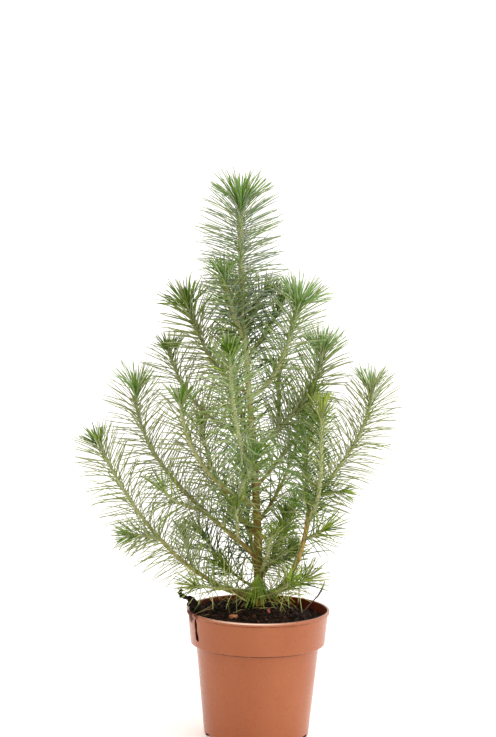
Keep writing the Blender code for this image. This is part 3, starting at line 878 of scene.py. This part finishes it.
# where a shoot isn't like the rest
habits = dict(
    leader=Habit("ash", "jade", 1.15, 0.36, (83, 66, 0.86, 0.6), fine=0.82, open=72),
    # the deep tone on the collars round the trunk and on the shoots at the back is partly painted shade
    collar_low=Habit("deep", scale=0.9),
    collar_mid=Habit("deep", scale=0.9),
    top_left=Habit("mint", "jade", 0.88, 0.62, (21, 54, 0.7, 0.45), 1.2, 0.7),
    top_right=Habit("deep", scale=0.8, age=0.5),
    right_top=Habit("deep", scale=0.85, age=0.5),
    back_top=Habit("deep", age=0.5),
    left_top=Habit("grey", "moss", 1.0, 0.54, (47, 68, 0.86, 0.5), 0.85, 1.15),
    right_high=Habit("mint", "jade", 1.0, 0.56, (86, 74, 1.04, 0.66), 1.2, 0.4, 0.9),
    back_high=Habit("deep"),
    left_high=Habit("grey", "moss", 1.0, 0.82, (47, 64, 0.54, 0.32), 0.85, 1.15, 0.88),
    front_high=Habit("mint", "moss", 1.0, 0.66, (57, 62, 0.3, 0.18), 1.1, 0.1),
    right_mid=Habit("grey", "jade", 1.0, 0.5, (49, 60, 0.88, 0.5), 1.1, 0.35, 0.94),
    right_mid_a=Habit(scale=0.7, apart=0.9, tuft=(16, 50, 0.6, 0.4)),
    right_inner=Habit("mint", "jade", 1.0, 0.95, (13, 50, 0.7, 0.5), 0.85),
    left_inner=Habit("grey", "jade", 1.0, 1.15, (23, 54, 0.7, 0.4), age=0.8),
    back_left=Habit("deep", apart=1.3),
    back_right=Habit(apart=1.15, tuft=(10, 50, 0.7, 0.5), stout=0.8, age=1.15),
    left_mid=Habit("grey", "jade", 1.0, 0.58, (42, 66, 0.85, 0.45), 0.9, 0.95, 0.8),
    left_mid_a=Habit("grey", apart=2.0, tuft=(13, 54, 0.7, 0.5)),
    mid_spur=Habit(scale=0.75, apart=1.9, tuft=(12, 50, 0.7, 0.5)),
    front_mid=Habit("mint", "jade", apart=0.75, stout=1.0, age=0.15),
    left_low=Habit("grey", "moss", 1.0, 0.72, (39, 52, 0.62, 0.42), 0.9, fine=0.84),
    left_low_a=Habit("grey", "jade", 0.85, 0.8, (23, 52, 0.6, 0.4)),
    left_low_b=Habit("blue", scale=0.75, tuft=(13, 50, 0.6, 0.4)),
    back_low=Habit("deep", apart=0.85, tuft=(10, 50, 0.6, 0.5), stout=0.85, age=1.2),
    left_back=Habit("deep", "leaf", 1.0, 0.95, (10, 50, 0.6, 0.5), 0.75, 1.3),
    left_foot=Habit("leaf", "leaf", 0.8, 0.7, (12, 54, 0.7, 0.5), 0.7, 1.3, open=78),
    inner_right=Habit("fresh", "leaf", 0.62, 0.42, (18, 60, 0.8, 0.5), open=72),
    inner_right_a=Habit("leaf", "fresh", 0.58, 0.44, (18, 60, 0.8, 0.5), open=72),
    inner_right_b=Habit("fresh", "fresh", 0.58, 0.48, (18, 60, 0.8, 0.5), open=72),
    inner_right_c=Habit("fresh", "fresh", 0.58, 0.5, (14, 60, 0.8, 0.5), open=72),
    inner_front=Habit(scale=0.58, apart=0.8, tuft=(13, 54, 0.7, 0.5)),
    inner_front_a=Habit("leaf", "leaf", 0.58, 0.7, (16, 54, 0.7, 0.5)),
    foot_tuft=Habit("jade", "moss", 0.62, 0.8, (18, 48, 1.0, 0.7), age=0.1, fine=1.3, droop=1.0),
    foot_tuft_a=Habit("jade", "fresh", 0.9, 0.6, (36, 36, 1.0, 0.7), age=0.1, fine=1.3, droop=1.3),
    right_foot=Habit(scale=0.72, apart=0.78, tuft=(16, 56, 0.8, 0.5), age=1.2),
    right_foot_a=Habit("leaf", "leaf", 0.75, 0.8, (21, 76, 0.95, 0.5)),
    right_fork=Habit("grey", "jade", 1.0, 0.54, (38, 58, 0.76, 0.5), 1.15, 0.3, 0.8),
    right_fork_a=Habit(scale=0.7, apart=1.4, tuft=(12, 50, 0.6, 0.4)),
    right_spur=Habit(scale=0.85, apart=0.8, tuft=(12, 60, 0.8, 0.5)),
    right_mid_b=Habit("mint", scale=0.8, apart=1.1, tuft=(10, 50, 0.7, 0.5)),
    left_back_a=Habit("fresh", scale=0.7, apart=0.6, tuft=(21, 60, 0.7, 0.5)),
    right_thin=Habit("leaf", "lime", 0.62, 0.6, (34, 24, 1.0, 0.75), 1.3, 0.2),
    right_thin_a=Habit("jade", scale=0.8, apart=0.6, tuft=(10, 50, 0.7, 0.5), age=0.6),
)


def habit(name):
    return habits.get(name, Habit())


class Limb:
    # a limb's middle line, read by the distance from its foot

    def __init__(self, points, radii):
        self.points = np.array(points)
        steps = np.linalg.norm(np.diff(self.points, axis=0), axis=1)
        self.marks = np.concatenate(([0.0], np.cumsum(steps)))
        self.length = self.marks[-1]
        self.radii = np.array(radii)

    def place(self, mark):
        return np.stack([np.interp(mark, self.marks, self.points[:, axis]) for axis in range(3)], -1)

    def heading(self, mark):
        return unit(self.place(mark + limbSizes["probe"]) - self.place(mark - limbSizes["probe"]))

    def radius(self, mark):
        return np.interp(mark, self.marks, self.radii)

    def frames(self, marks):
        # the heading and two directions across it, turning as little as can be
        ahead = self.heading(marks)
        side = np.cross(ahead[0], (0.0, 1.0, 0.0))
        sides = []
        for way in ahead:
            side = unit(side - way * side.dot(way))
            sides.append(side)
        sides = np.array(sides)
        return ahead, sides, np.cross(ahead, sides)


def trunkPoint(height):
    rise = np.maximum(0.0, height - trunk["foot"] - trunk["straightFoot"])
    share = np.minimum(1.0, rise / (trunk["tip"] - trunk["foot"]))
    sweep = share * share * (3 - 2 * share)
    bow = trunk["bow"] * np.sin(pi * share) * share
    return np.stack((-trunk["lean"] * sweep, bow, height + 0.0 * share), -1)


def trunkRadius(height):
    share = np.clip((height - trunk["foot"]) / (trunk["tip"] - trunk["foot"]), 0, 1)
    taper = (trunk["footRadius"] - trunk["tipRadius"]) * (1 - share) ** trunk["taperPower"]
    flare = trunk["flare"] * np.exp(-np.maximum(0.0, height - trunk["foot"]) / trunk["flareHeight"])
    return trunk["tipRadius"] + taper + flare


def trunkLimb():
    heights = np.linspace(trunk["foot"] - trunk["sunk"], trunk["leaderTop"], trunk["points"])
    plump = 1 + trunk["plump"] * np.clip((heights - trunk["tip"]) / trunk["plumpOver"], 0, 1)
    return Limb(trunkPoint(heights), trunkRadius(heights) * plump)


def shootLimb(foot, parentRadius, shoot):
    # a Bezier curve in the upright plane of the shoot's bearing
    handle = limbSizes["handle"] * hypot(shoot.reach, shoot.rise)
    leave, arrive = radians(shoot.leave), radians(shoot.arrive)
    tip = np.array((shoot.reach, shoot.rise))
    corners = (
        np.zeros(2),
        handle * np.array((cos(leave), sin(leave))),
        tip - handle * np.array((cos(arrive), sin(arrive))),
        tip,
    )
    t = np.linspace(0, 1, limbSizes["points"] + 1)[:, None]
    weights = ((1 - t) ** 3, 3 * t * (1 - t) ** 2, 3 * t * t * (1 - t), t ** 3)
    flat = sum(corner * weight for corner, weight in zip(corners, weights))
    points = foot + wayTo(radians(shoot.bearing)) * flat[:, :1] + np.array((0.0, 0.0, 1.0)) * flat[:, 1:]
    thick, thin = limbSizes["carrier"]
    if shoot.bare < 1.0:
        length = np.linalg.norm(np.diff(points, axis=0), axis=1).sum()
        wanted = limbSizes["thick"] + limbSizes["thickPerLength"] * length
        thick = min(wanted, limbSizes["childShare"] * parentRadius)
        thin = min(limbSizes["tip"], thick)
    return Limb(points, thick + (thin - thick) * t[:, 0])


def branchLimb(parent, shoot):
    mark = parent.length * shoot.at
    return shootLimb(parent.place(mark), float(parent.radius(mark)), shoot)


def layOutLimbs():
    limbs = {"trunk": trunkLimb()}
    for name, shoot in shoots.items():
        if shoot.parent == "trunk":
            foot = trunkPoint(np.array(shoot.at))
            limbs[name] = shootLimb(foot, float(trunkRadius(shoot.at)), shoot)
        else:
            limbs[name] = branchLimb(limbs[shoot.parent], shoot)
    for name in shoots:
        limbs[name].radii = limbs[name].radii * habit(name).stout
    for name, twig in twigs.items():
        limbs[name] = branchLimb(limbs[twig.parent], twig)
    return limbs


limbs = layOutLimbs()

bark = dict(
    # how many sides each kind of tube has, and how far apart its rings are
    trunk=(28, 0.0008),
    bough=(18, 0.0009),
    stem=(10, 0.0014),
    stub=(16, 0.0005),
    deadNeedle=(8, 0.0008),
    scar=0.055,  # height of the spiral of leaf scars, as a share of the radius
    scarSpacing=0.0011,
    plates=0.1,  # height of the rough plates of old bark, as a share of the radius
    plateSize=(260, 90),  # across and along, to a metre
    youngPlates=0.35,
    budLength=0.0035,
    collar=(0.35, 0.004),  # swelling where a bough leaves, as a share, and its length
)


def scars(turn, mark):
    # waves along the two plainest spirals of a golden-angle shoot
    first = 5 * turn + 0.567 * mark / bark["scarSpacing"]
    second = 8 * turn - 0.349 * mark / bark["scarSpacing"]
    return 0.5 * (np.cos(first) + np.cos(second))


def addTube(heap, limb, start, end, kind, age, closed=False, swell=0.0):
    # age: a function of the distances along the limb, 0 young to 1 old
    around, step = bark[kind]
    marks = np.linspace(start, end, max(5, round((end - start) / step) + 1))
    ahead, sides, overs = limb.frames(marks)
    turns = np.arange(around) / around * tau
    outward = np.cos(turns)[:, None] * sides[:, None] + np.sin(turns)[:, None] * overs[:, None]
    girth = limb.radius(marks) * (1 + swell * np.exp(-marks / bark["collar"][1]))
    if closed:
        girth = girth * np.sqrt(np.clip((end - marks) / bark["budLength"], 0.02, 1))
    ages = age(marks)
    relief = 1 + bark["scar"] * scars(turns[None, :], marks[:, None])
    centres = limb.place(marks)[:, None]
    across, along = bark["plateSize"]
    circle = np.stack((np.cos(turns), np.sin(turns)), -1)
    rough = np.array([
        [noise.noise(Vector((*(way * width * across), mark * along))) for way in circle]
        for width, mark in zip(girth, marks)
    ])
    relief += bark["plates"] * rough * (bark["youngPlates"] + ages[:, None])
    points = centres + outward * (girth[:, None] * relief)[..., None]
    points, faces = capped(points, around, (centres[0, 0], centres[-1, 0]))
    heap.add(points, faces, np.concatenate((np.repeat(ages, around), ages[[0, -1]])))


# how old the bark looks: by height on the trunk, and by the share of a shoot
ageing = dict(
    trunkHeights=(0.119, 0.136, 0.152, 0.205, 0.222, 0.24, 0.262, 0.29, 0.31, 0.486),
    trunkAges=(0.86, 0.77, 0.8, 0.84, 0.78, 0.84, 0.72, 0.48, 0.3, 0.04),
    shootShares=(0.0, 0.2, 0.42, 0.62, 0.9, 1.0),
    shootAges=(0.72, 0.62, 0.5, 0.34, 0.14, 0.0),
    shootLength=(0.3, 0.14),  # the age of the shortest, and the length that makes up the rest
    carrierShares=(0, 0.3, 1),
    carrierAges=(0.66, 0.95, 1.0),
)


def evenAge(age):
    return lambda marks: age * np.ones(len(marks))


def trunkAge(limb):
    return lambda marks: np.interp(limb.place(marks)[:, 2], ageing["trunkHeights"], ageing["trunkAges"])


def shootAge(name):
    limb = limbs[name]
    if name == "right_low":
        return lambda marks: np.interp(marks / limb.length, ageing["carrierShares"], ageing["carrierAges"])
    youngest, over = ageing["shootLength"]
    old = min(1.0, youngest + limb.length / over)

    def age(marks):
        shares = np.interp(marks / limb.length, ageing["shootShares"], ageing["shootAges"])
        return shares * old * habit(name).age

    return age


barkPaint = dict(
    # from the tip of a shoot to old bark
    ages=(
        (0.0, (0.56, 0.6, 0.31)),
        (0.28, (0.54, 0.53, 0.265)),
        (0.48, (0.39, 0.355, 0.12)),
        (0.64, (0.33, 0.24, 0.068)),
        (0.78, (0.165, 0.122, 0.024)),
        (0.9, (0.25, 0.158, 0.035)),
        (1.0, (0.58, 0.38, 0.125)),
    ),
    flakes=(0.43, 0.27, 0.14),
    # reddish nodes on the trunk: place and reach
    node=(0.26, 0.085, 0.035),
    nodes=(((-0.0045, -0.003, 0.164), 0.006), ((0.003, -0.004, 0.238), 0.004)),
)


def barkSkin(name):
    material, tree, shader = newMaterial(name, 0.14)
    age = tree.nodes.new("ShaderNodeAttribute")
    age.attribute_name = "age"
    age = age.outputs["Fac"]
    shift = rerange(tree, grain(tree, 240.0, 4.0, (1, 1, 0.5)), 0.3, 0.7, -0.14, 0.14)
    colour = ramp(tree, plus(tree, age, shift), barkPaint["ages"])
    flakes = rerange(tree, grain(tree, 150.0, 3.0, (1, 1, 0.45)), 0.56, 0.68)
    flaking = times(tree, flakes, rerange(tree, age, 0.7, 0.95))
    colour = blendColours(tree, flaking, colour, barkPaint["flakes"])
    for place, reach in barkPaint["nodes"]:
        colour = blendColours(tree, nearPoint(tree, place, reach), colour, barkPaint["node"])
    dullness = rerange(tree, grain(tree, 500.0), 0.3, 0.7, 0.55, 0.85)
    wire(tree, shader, {"Base Color": colour, "Roughness": dullness})
    emboss(tree, shader, grain(tree, 1300.0, 4.0, (1, 1, 0.4)), 0.45, 0.0003)
    return material


# what is left of a lost bough on the trunk
stub = dict(height=0.18, bearing=-20, rise=25, length=0.0082, radius=0.0021, taper=(1.2, 1, 0.9))


def buildBark():
    heap = Heap()
    pole = limbs["trunk"]
    addTube(heap, pole, 0.0, pole.length, "trunk", trunkAge(pole), True)
    nodes = ["trunk"]
    for name, shoot in shoots.items():
        if shoot.bare:
            end = limbs[name].length * shoot.bare
            addTube(heap, limbs[name], 0.0, end, "bough", shootAge(name), swell=bark["collar"][0])
            nodes.append("bough_" + name)
    way = wayTo(radians(stub["bearing"]), radians(stub["rise"]))
    foot = trunkPoint(np.array(stub["height"]))
    points = [foot + way * stub["length"] * share for share in (0, 0.5, 1)]
    limb = Limb(points, [stub["radius"] * girth for girth in stub["taper"]])
    addTube(heap, limb, 0.0, stub["length"], "stub", evenAge(1))
    makePiece("bark_of_trunk_and_boughs", "bark", nodes, heap, barkSkin("youngPineBark"))


buildBark()
buildDeadNeedle()
print("trunk and boughs grown")


# Needles: single, in a golden-angle spiral, closing to a brush at each tip

needle = dict(
    length=0.035,
    lengthSpread=0.1,
    spacing=0.00088,
    crowding=(0.6, 0.012),  # how much closer they stand at the tip, and over what length
    first=0.002,
    last=0.0006,
    boughFirst=0.008,
    boughSpacing=0.0041,
    carrierFirst=0.03,
    carrierSpacing=0.0026,
    # the needles round the trunk: bottom, top and spacing
    collars=dict(collar_low=(0.262, 0.318, 0.0013), collar_mid=(0.318, 0.377, 0.001)),
    leaderFoot=0.377,
    tipAngle=22,
    opening=0.012,
    footAngle=12,
    footReach=0.11,
    footPower=1.5,
    angleSpread=6.0,
    closing=0.009,
    rootDepth=0.75,  # how far out in the stem it starts, as a share of its radius
    width=0.00118,
    depth=0.00098,
    widthSpread=(0.85, 0.3),
    bow=(0.018, 0.024),
    sway=0.02,
    rings=(0.0, 0.07, 0.25, 0.5, 0.74, 0.93),
    girths=(0.82, 1.0, 1.0, 1.0, 0.93, 0.6),
    darkShare=0.3,  # needles of the darker tone
    paleShare=0.24,  # and of the lighter one
    coreShare=(1.3, 0.55, 0.009),  # needles of the tip's tone: inside, less outside, and over what length
    tuftFoot=0.001,
    tuftNarrow=3,
    tuftWidth=0.8,  # how much slimmer the needles of a tuft are
    thinnest=0.15,  # share of the width that doesn't follow the shoot's scale
    fringe=(0.132, 0.36),  # of the needles that hang lower than this, the share kept
    # old needles, of those that start lower and point further down than this: the luck
    # that makes them pale, the luck that makes them straw, and their width
    old=(0.16, -0.3, 0.7, 0.86, 0.7),
    clear=0.0006,  # how far it keeps from the trunk
    rimClear=0.001,
    rimDrop=0.004,  # how far below the rim one may hang outside the pot
    probes=(0.25, 0.4, 0.55, 0.7, 0.85, 1.0),
    shades=(0.78, 1.22),
    cushion=(0.0036, 0.00125, 0.00055),  # length, width, height of the ridge below each needle
    cushionSunk=0.0002,
    cushionEnd=0.002,  # the last stretch has none
    cushionAge=0.08,
    golden=pi * (3 - sqrt(5)),
)

# each tone of needle: its base colour, and the darker and lighter tones mixed in
tones = dict(
    fresh=((0.255, 0.385, 0.048), "leaf", "lime"),
    moss=((0.128, 0.245, 0.01), "deep", "fresh"),
    jade=((0.215, 0.41, 0.1), "moss", "silver"),
    leaf=((0.242, 0.324, 0.072), "deep", "pale"),
    grey=((0.312, 0.342, 0.158), "leaf", "silver"),
    ash=((0.29, 0.35, 0.275), "blue", "silver"),
    blue=((0.232, 0.335, 0.118), "leaf", "silver"),
    mint=((0.275, 0.385, 0.165), "leaf", "silver"),
    # deep: a dark green mixed in at random, and, as the main tone of the collars and the back shoots,
    # painted shade
    deep=((0.07, 0.14, 0.015), "deep", "leaf"),
    silver=((0.415, 0.475, 0.255), "silver", "silver"),
    lime=((0.375, 0.485, 0.042), "fresh", "pale"),
    pale=((0.43, 0.45, 0.165), "straw", "silver"),
    straw=((0.29, 0.22, 0.085), "straw", "pale"),
)

# root, way, lift, length and width of each needle, by its tone, and the masses it replaces
grown = {tone: [] for tone in tones}
masses = {tone: set() for tone in tones}
stems = Heap()


def addRidges(limb, marks, age, outs, ahead):
    # a slim ridge that runs down the stem from each needle's root
    length, width, height = needle["cushion"]
    foot = limb.place(marks) + outs * limb.radius(marks)[:, None]
    across = np.cross(ahead, outs)
    sunk = foot - outs * needle["cushionSunk"]
    left = sunk + across * width / 2
    right = sunk - across * width / 2
    below = sunk - ahead * length
    above = sunk + ahead * width * 0.6
    crest = foot + outs * height
    points = np.stack((left, right, below, above, crest), 1)
    base = np.arange(len(marks))[:, None] * 5
    corners = ((4, 2, 0), (4, 1, 2), (4, 3, 1), (4, 0, 3), (0, 2, 1, 3))
    faces = [base + np.array(corner) for corner in corners]
    stems.add(points, faces, np.repeat(np.clip(age(marks) - needle["cushionAge"], 0, 1), 5))


def hitsSomething(roots, ways, lengths, onTrunk):
    bad = np.zeros(len(roots), bool)
    top, rim, close = pot["height"], pot["rim"], needle["rimClear"]
    for share in needle["probes"]:
        points = roots + ways * (lengths * share)[:, None]
        reach, height = np.hypot(points[:, 0], points[:, 1]), points[:, 2]
        bad |= (reach > innerRadius(top) - close) & (reach < rim + close) & (height < top + close)
        bad |= (reach >= rim) & (height < top - needle["rimDrop"])
        bad |= (reach < rim) & (height < peat["top"] - peat["edgeDrop"] * (reach / rim) ** 2)
        if not onTrunk:
            gap = np.linalg.norm(points[:, :2] - trunkPoint(height)[:, :2], axis=1)
            bad |= (gap < trunkRadius(height) + needle["clear"]) & (height < trunk["tip"])
    return bad


def growNeedles(mass, name, limb, start, end, age, spacing, sparse=False, onTrunk=False):
    marks = []
    mark = start + needle["first"]
    crowd, over = needle["crowding"]
    while mark < end - needle["last"]:
        marks.append(mark)
        mark += spacing * (1 - (0 if sparse else crowd * exp(-(end - mark) / over)))
    if not marks:
        return
    own = habit(name)
    tuft, widest, outer, inner = (0, 0, 1.0, 1.0) if sparse else own.tuft
    marks = np.array(marks + [end - needle["tuftFoot"]] * tuft)
    count = len(marks)
    order = np.argsort(marks, kind="stable")
    ahead, sides, overs = limb.frames(marks[order])
    turns = dice.uniform(0, tau) + needle["golden"] * np.arange(count)
    outs = np.cos(turns)[:, None] * sides + np.sin(turns)[:, None] * overs
    gap = (limb.length if sparse else end) - marks
    closed = np.exp(-gap / needle["closing"])
    opened = 1 - np.exp(-gap / needle["opening"])
    angles = needle["tipAngle"] + (own.open - needle["tipAngle"]) * opened
    angles += needle["footAngle"] * np.clip(gap / needle["footReach"], 0, 1) ** needle["footPower"]
    angles += dice.normal(0, needle["angleSpread"], count)
    lengths = needle["length"] * (1 + (outer - 1) * closed)
    spread = np.ones(count)
    if tuft:
        spread[-tuft:] = np.sqrt(dice.uniform(0, 1, tuft))
        narrow = needle["tuftNarrow"]
        angles[-tuft:] = narrow + (widest - narrow) * spread[-tuft:]
        lengths[-tuft:] = needle["length"] * (inner + (outer - inner) * spread[-tuft:])
    lengths = lengths * own.scale
    lengths = lengths * (1 + dice.uniform(-1, 1, count) * needle["lengthSpread"])
    lean = np.radians(angles)[:, None]
    ways = unit(ahead * np.cos(lean) + outs * np.sin(lean))
    ways = unit(ways - np.array((0.0, 0.0, own.droop)))
    lifts = ahead * np.sin(lean) - outs * np.cos(lean)
    lifts = unit(lifts - ways * (lifts * ways).sum(1)[:, None])
    roots = limb.place(marks) + outs * limb.radius(marks)[:, None] * needle["rootDepth"]
    luck = dice.uniform(0, 1, (count, 2))
    keep = ~hitsSomething(roots, ways, lengths, onTrunk)
    level, share = needle["fringe"]
    keep &= (roots[:, 2] + ways[:, 2] * lengths > level) | (luck[:, 0] < share)
    width = (needle["thinnest"] + (1 - needle["thinnest"]) * own.scale) * own.fine
    widths = np.full(count, width)
    if tuft:
        widths[-tuft:] *= needle["tuftWidth"]
    inside, outside, over = needle["coreShare"]
    core = luck[:, 0] < np.exp(-gap / over) * (inside - outside * spread ** 2)
    oldLevel, oldDrop, paleLuck, strawLuck, oldWidth = needle["old"]
    old = (roots[:, 2] < oldLevel) & (ways[:, 2] < oldDrop)
    widths[old] *= oldWidth
    for index in np.flatnonzero(keep):
        tone = own.core if core[index] else own.tone
        chance = luck[index, 1]
        if chance < needle["darkShare"]:
            tone = tones[tone][1]
        elif chance < needle["darkShare"] + needle["paleShare"]:
            tone = tones[tone][2]
        if old[index] and chance > paleLuck and "foot" not in name:
            tone = "straw" if chance > strawLuck else "pale"
        grown[tone].append((roots[index], ways[index], lifts[index], lengths[index], widths[index]))
        masses[tone].add("needles_" + mass)
    ridged = keep & (gap > needle["cushionEnd"])
    addRidges(limb, marks[ridged], age, outs[ridged], ahead[ridged])


def needleStuff(tone):
    colour = tones[tone][0]
    darker, paler = (tuple(channel * shade for channel in colour) for shade in needle["shades"])
    stops = ((0.32, darker), (0.5, colour), (0.68, paler))
    relief, depth = (2500.0, 1.0), (0.15, 0.0001)
    return grainyStuff("needle_" + tone, (0.2,), 0.48, (160.0, 2.0), stops, relief, depth)


def buildNeedles(tone):
    # each needle is a bowed, four-sided spike
    columns = [np.array(column) for column in zip(*grown[tone])]
    roots, ways, lifts = (column[:, None] for column in columns[:3])
    lengths, widths = (column[:, None, None] for column in columns[3:])
    count = len(roots)
    sides = np.cross(ways, lifts)
    shares = np.array(needle["rings"])[None, :, None]
    girths = np.array(needle["girths"])[None, :, None]
    bows = dice.normal(*needle["bow"], (count, 1, 1))
    sways = dice.normal(0, needle["sway"], (count, 1, 1))
    least, more = needle["widthSpread"]
    sizes = widths * (least + more * dice.uniform(0, 1, (count, 1, 1)))

    def line(share):
        bend = lifts * bows * share * (1 - share) * 4 + sides * sways * share ** 2
        return roots + lengths * (ways * share + bend)

    centres = line(shares)
    half = girths * sizes / 2
    thick = lifts * needle["depth"] * half
    wide = sides * needle["width"] * half
    corners = np.stack((centres + thick, centres + wide, centres - thick, centres - wide), 2)
    tips = line(np.ones((1, 1, 1)))
    rings = len(needle["rings"])
    starts = np.arange(count)[:, None] * rings * 4
    walls = (starts[:, None] + ringFaces(rings, 4)[None]).reshape(-1, 4)
    last = starts + (rings - 1) * 4
    corner = np.arange(4)[None, :]
    tip = count * rings * 4 + np.arange(count)[:, None] + 0 * corner
    spikes = np.stack((last + corner, last + (corner + 1) % 4, tip), -1).reshape(-1, 3)
    base = starts + np.array((3, 2, 1, 0))
    heap = Heap()
    heap.add(np.concatenate((corners.reshape(-1, 3), tips.reshape(-1, 3))), (walls, spikes, base))
    makePiece("spray_" + tone, "needles", masses[tone], heap, needleStuff(tone))
    print("needles,", tone + ":", count)


def growAll():
    for name, shoot in [*shoots.items(), *twigs.items()]:
        if shoot.bare == 1.0:
            continue
        mass = shoot.parent if name in twigs else name
        limb, age = limbs[name], shootAge(name)
        start, end = limb.length * shoot.bare, limb.length
        addTube(stems, limb, start, end, "stem", age, True)
        growNeedles(mass, name, limb, start, end, age, needle["spacing"] * habit(name).apart)
        if start > 0:
            growNeedles(mass, name, limb, needle["boughFirst"], start, age, needle["boughSpacing"], True)
    carrier = limbs["right_low"]
    first, spacing = needle["carrierFirst"], needle["carrierSpacing"]
    age = shootAge("right_low")
    growNeedles("right_thin", "right_spur", carrier, first, carrier.length, age, spacing, True)
    pole = limbs["trunk"]
    age = trunkAge(pole)
    base = trunk["foot"] - trunk["sunk"]
    for name, (low, high, spacing) in needle["collars"].items():
        growNeedles(name, name, pole, low - base, high - base, age, spacing, True, True)
    low, high = needle["leaderFoot"] - base, trunk["leaderTop"] - base
    spacing = needle["spacing"] * habit("leader").apart
    growNeedles("leader", "leader", pole, low, high, age, spacing, onTrunk=True)


straws = dict(
    count=30,
    mostTries=2000,
    length=(0.01, 0.027),
    width=0.8,
    rise=(2, 38),  # degrees above level
    forks=0.35,  # share of straws that lie as pairs in a V
    forkAngle=(18, 42),
    # where dead needles have gathered
    drifts=((-0.0393, 0.0076), (-0.0166, 0.0265), (0.0247, 0.0211), (0.012, -0.012), (-0.03, -0.01)),
    driftSpread=0.013,
    fromEdge=0.002,
    above=0.0006,
    # pale needles that hang down from the lowest shoots: x and z at the top and at the
    # bottom, all at one depth
    hanging=(
        (0.0281, 0.144, 0.0279, 0.1224),
        (0.0344, 0.1474, 0.0354, 0.127),
        (0.0367, 0.143, 0.0398, 0.1181),
        (0.0228, 0.14, 0.0196, 0.1196),
        (-0.022, 0.1372, -0.029, 0.1206),
        (-0.0417, 0.1369, -0.0406, 0.1204),
        (-0.0498, 0.1367, -0.0541, 0.1239),
    ),
    hangingDepth=-0.03,
)


def addStraw(tone, root, way, length):
    lift = np.array((0.0, 0.0, 1.0)) - way * way[2]
    grown[tone].append((root, way, lift / np.linalg.norm(lift), length, straws["width"]))


def scatterStraws():
    laid = tries = 0
    while laid < straws["count"] and tries < straws["mostTries"]:
        tries += 1
        drift = straws["drifts"][dice.integers(len(straws["drifts"]))]
        x, y = np.array(drift) + dice.normal(0, straws["driftSpread"], 2)
        turns = [dice.uniform(0, tau)]
        rise = radians(dice.uniform(*straws["rise"]))
        length = dice.uniform(*straws["length"])
        if dice.uniform() < straws["forks"]:
            turns.append(turns[0] + radians(dice.uniform(*straws["forkAngle"])))
        if hypot(x, y) > peat["edge"] - straws["fromEdge"]:
            continue
        ways = np.array([wayTo(turn, rise) for turn in turns])
        roots = np.array([(x, y, peatHeight(x, y) + straws["above"])] * len(ways))
        if hitsSomething(roots, ways, np.full(len(ways), length), False).any():
            continue
        for root, way in zip(roots, ways):
            addStraw("straw", root, way, length)
        laid += len(ways)
    depth = straws["hangingDepth"]
    for x, z, lowX, lowZ in straws["hanging"]:
        top = np.array((x, depth, z))
        drop = np.array((lowX, depth, lowZ)) - top
        length = np.linalg.norm(drop)
        addStraw("pale", top, drop / length, length)


growAll()
scatterStraws()
needleNodes = [name for name in nodeNames if name.startswith("needles_")]
makePiece("green_shoots", "bark", needleNodes, stems, barkSkin("shootSkin"))
for tone in tones:
    if grown[tone]:
        buildNeedles(tone)
print("needles grown")
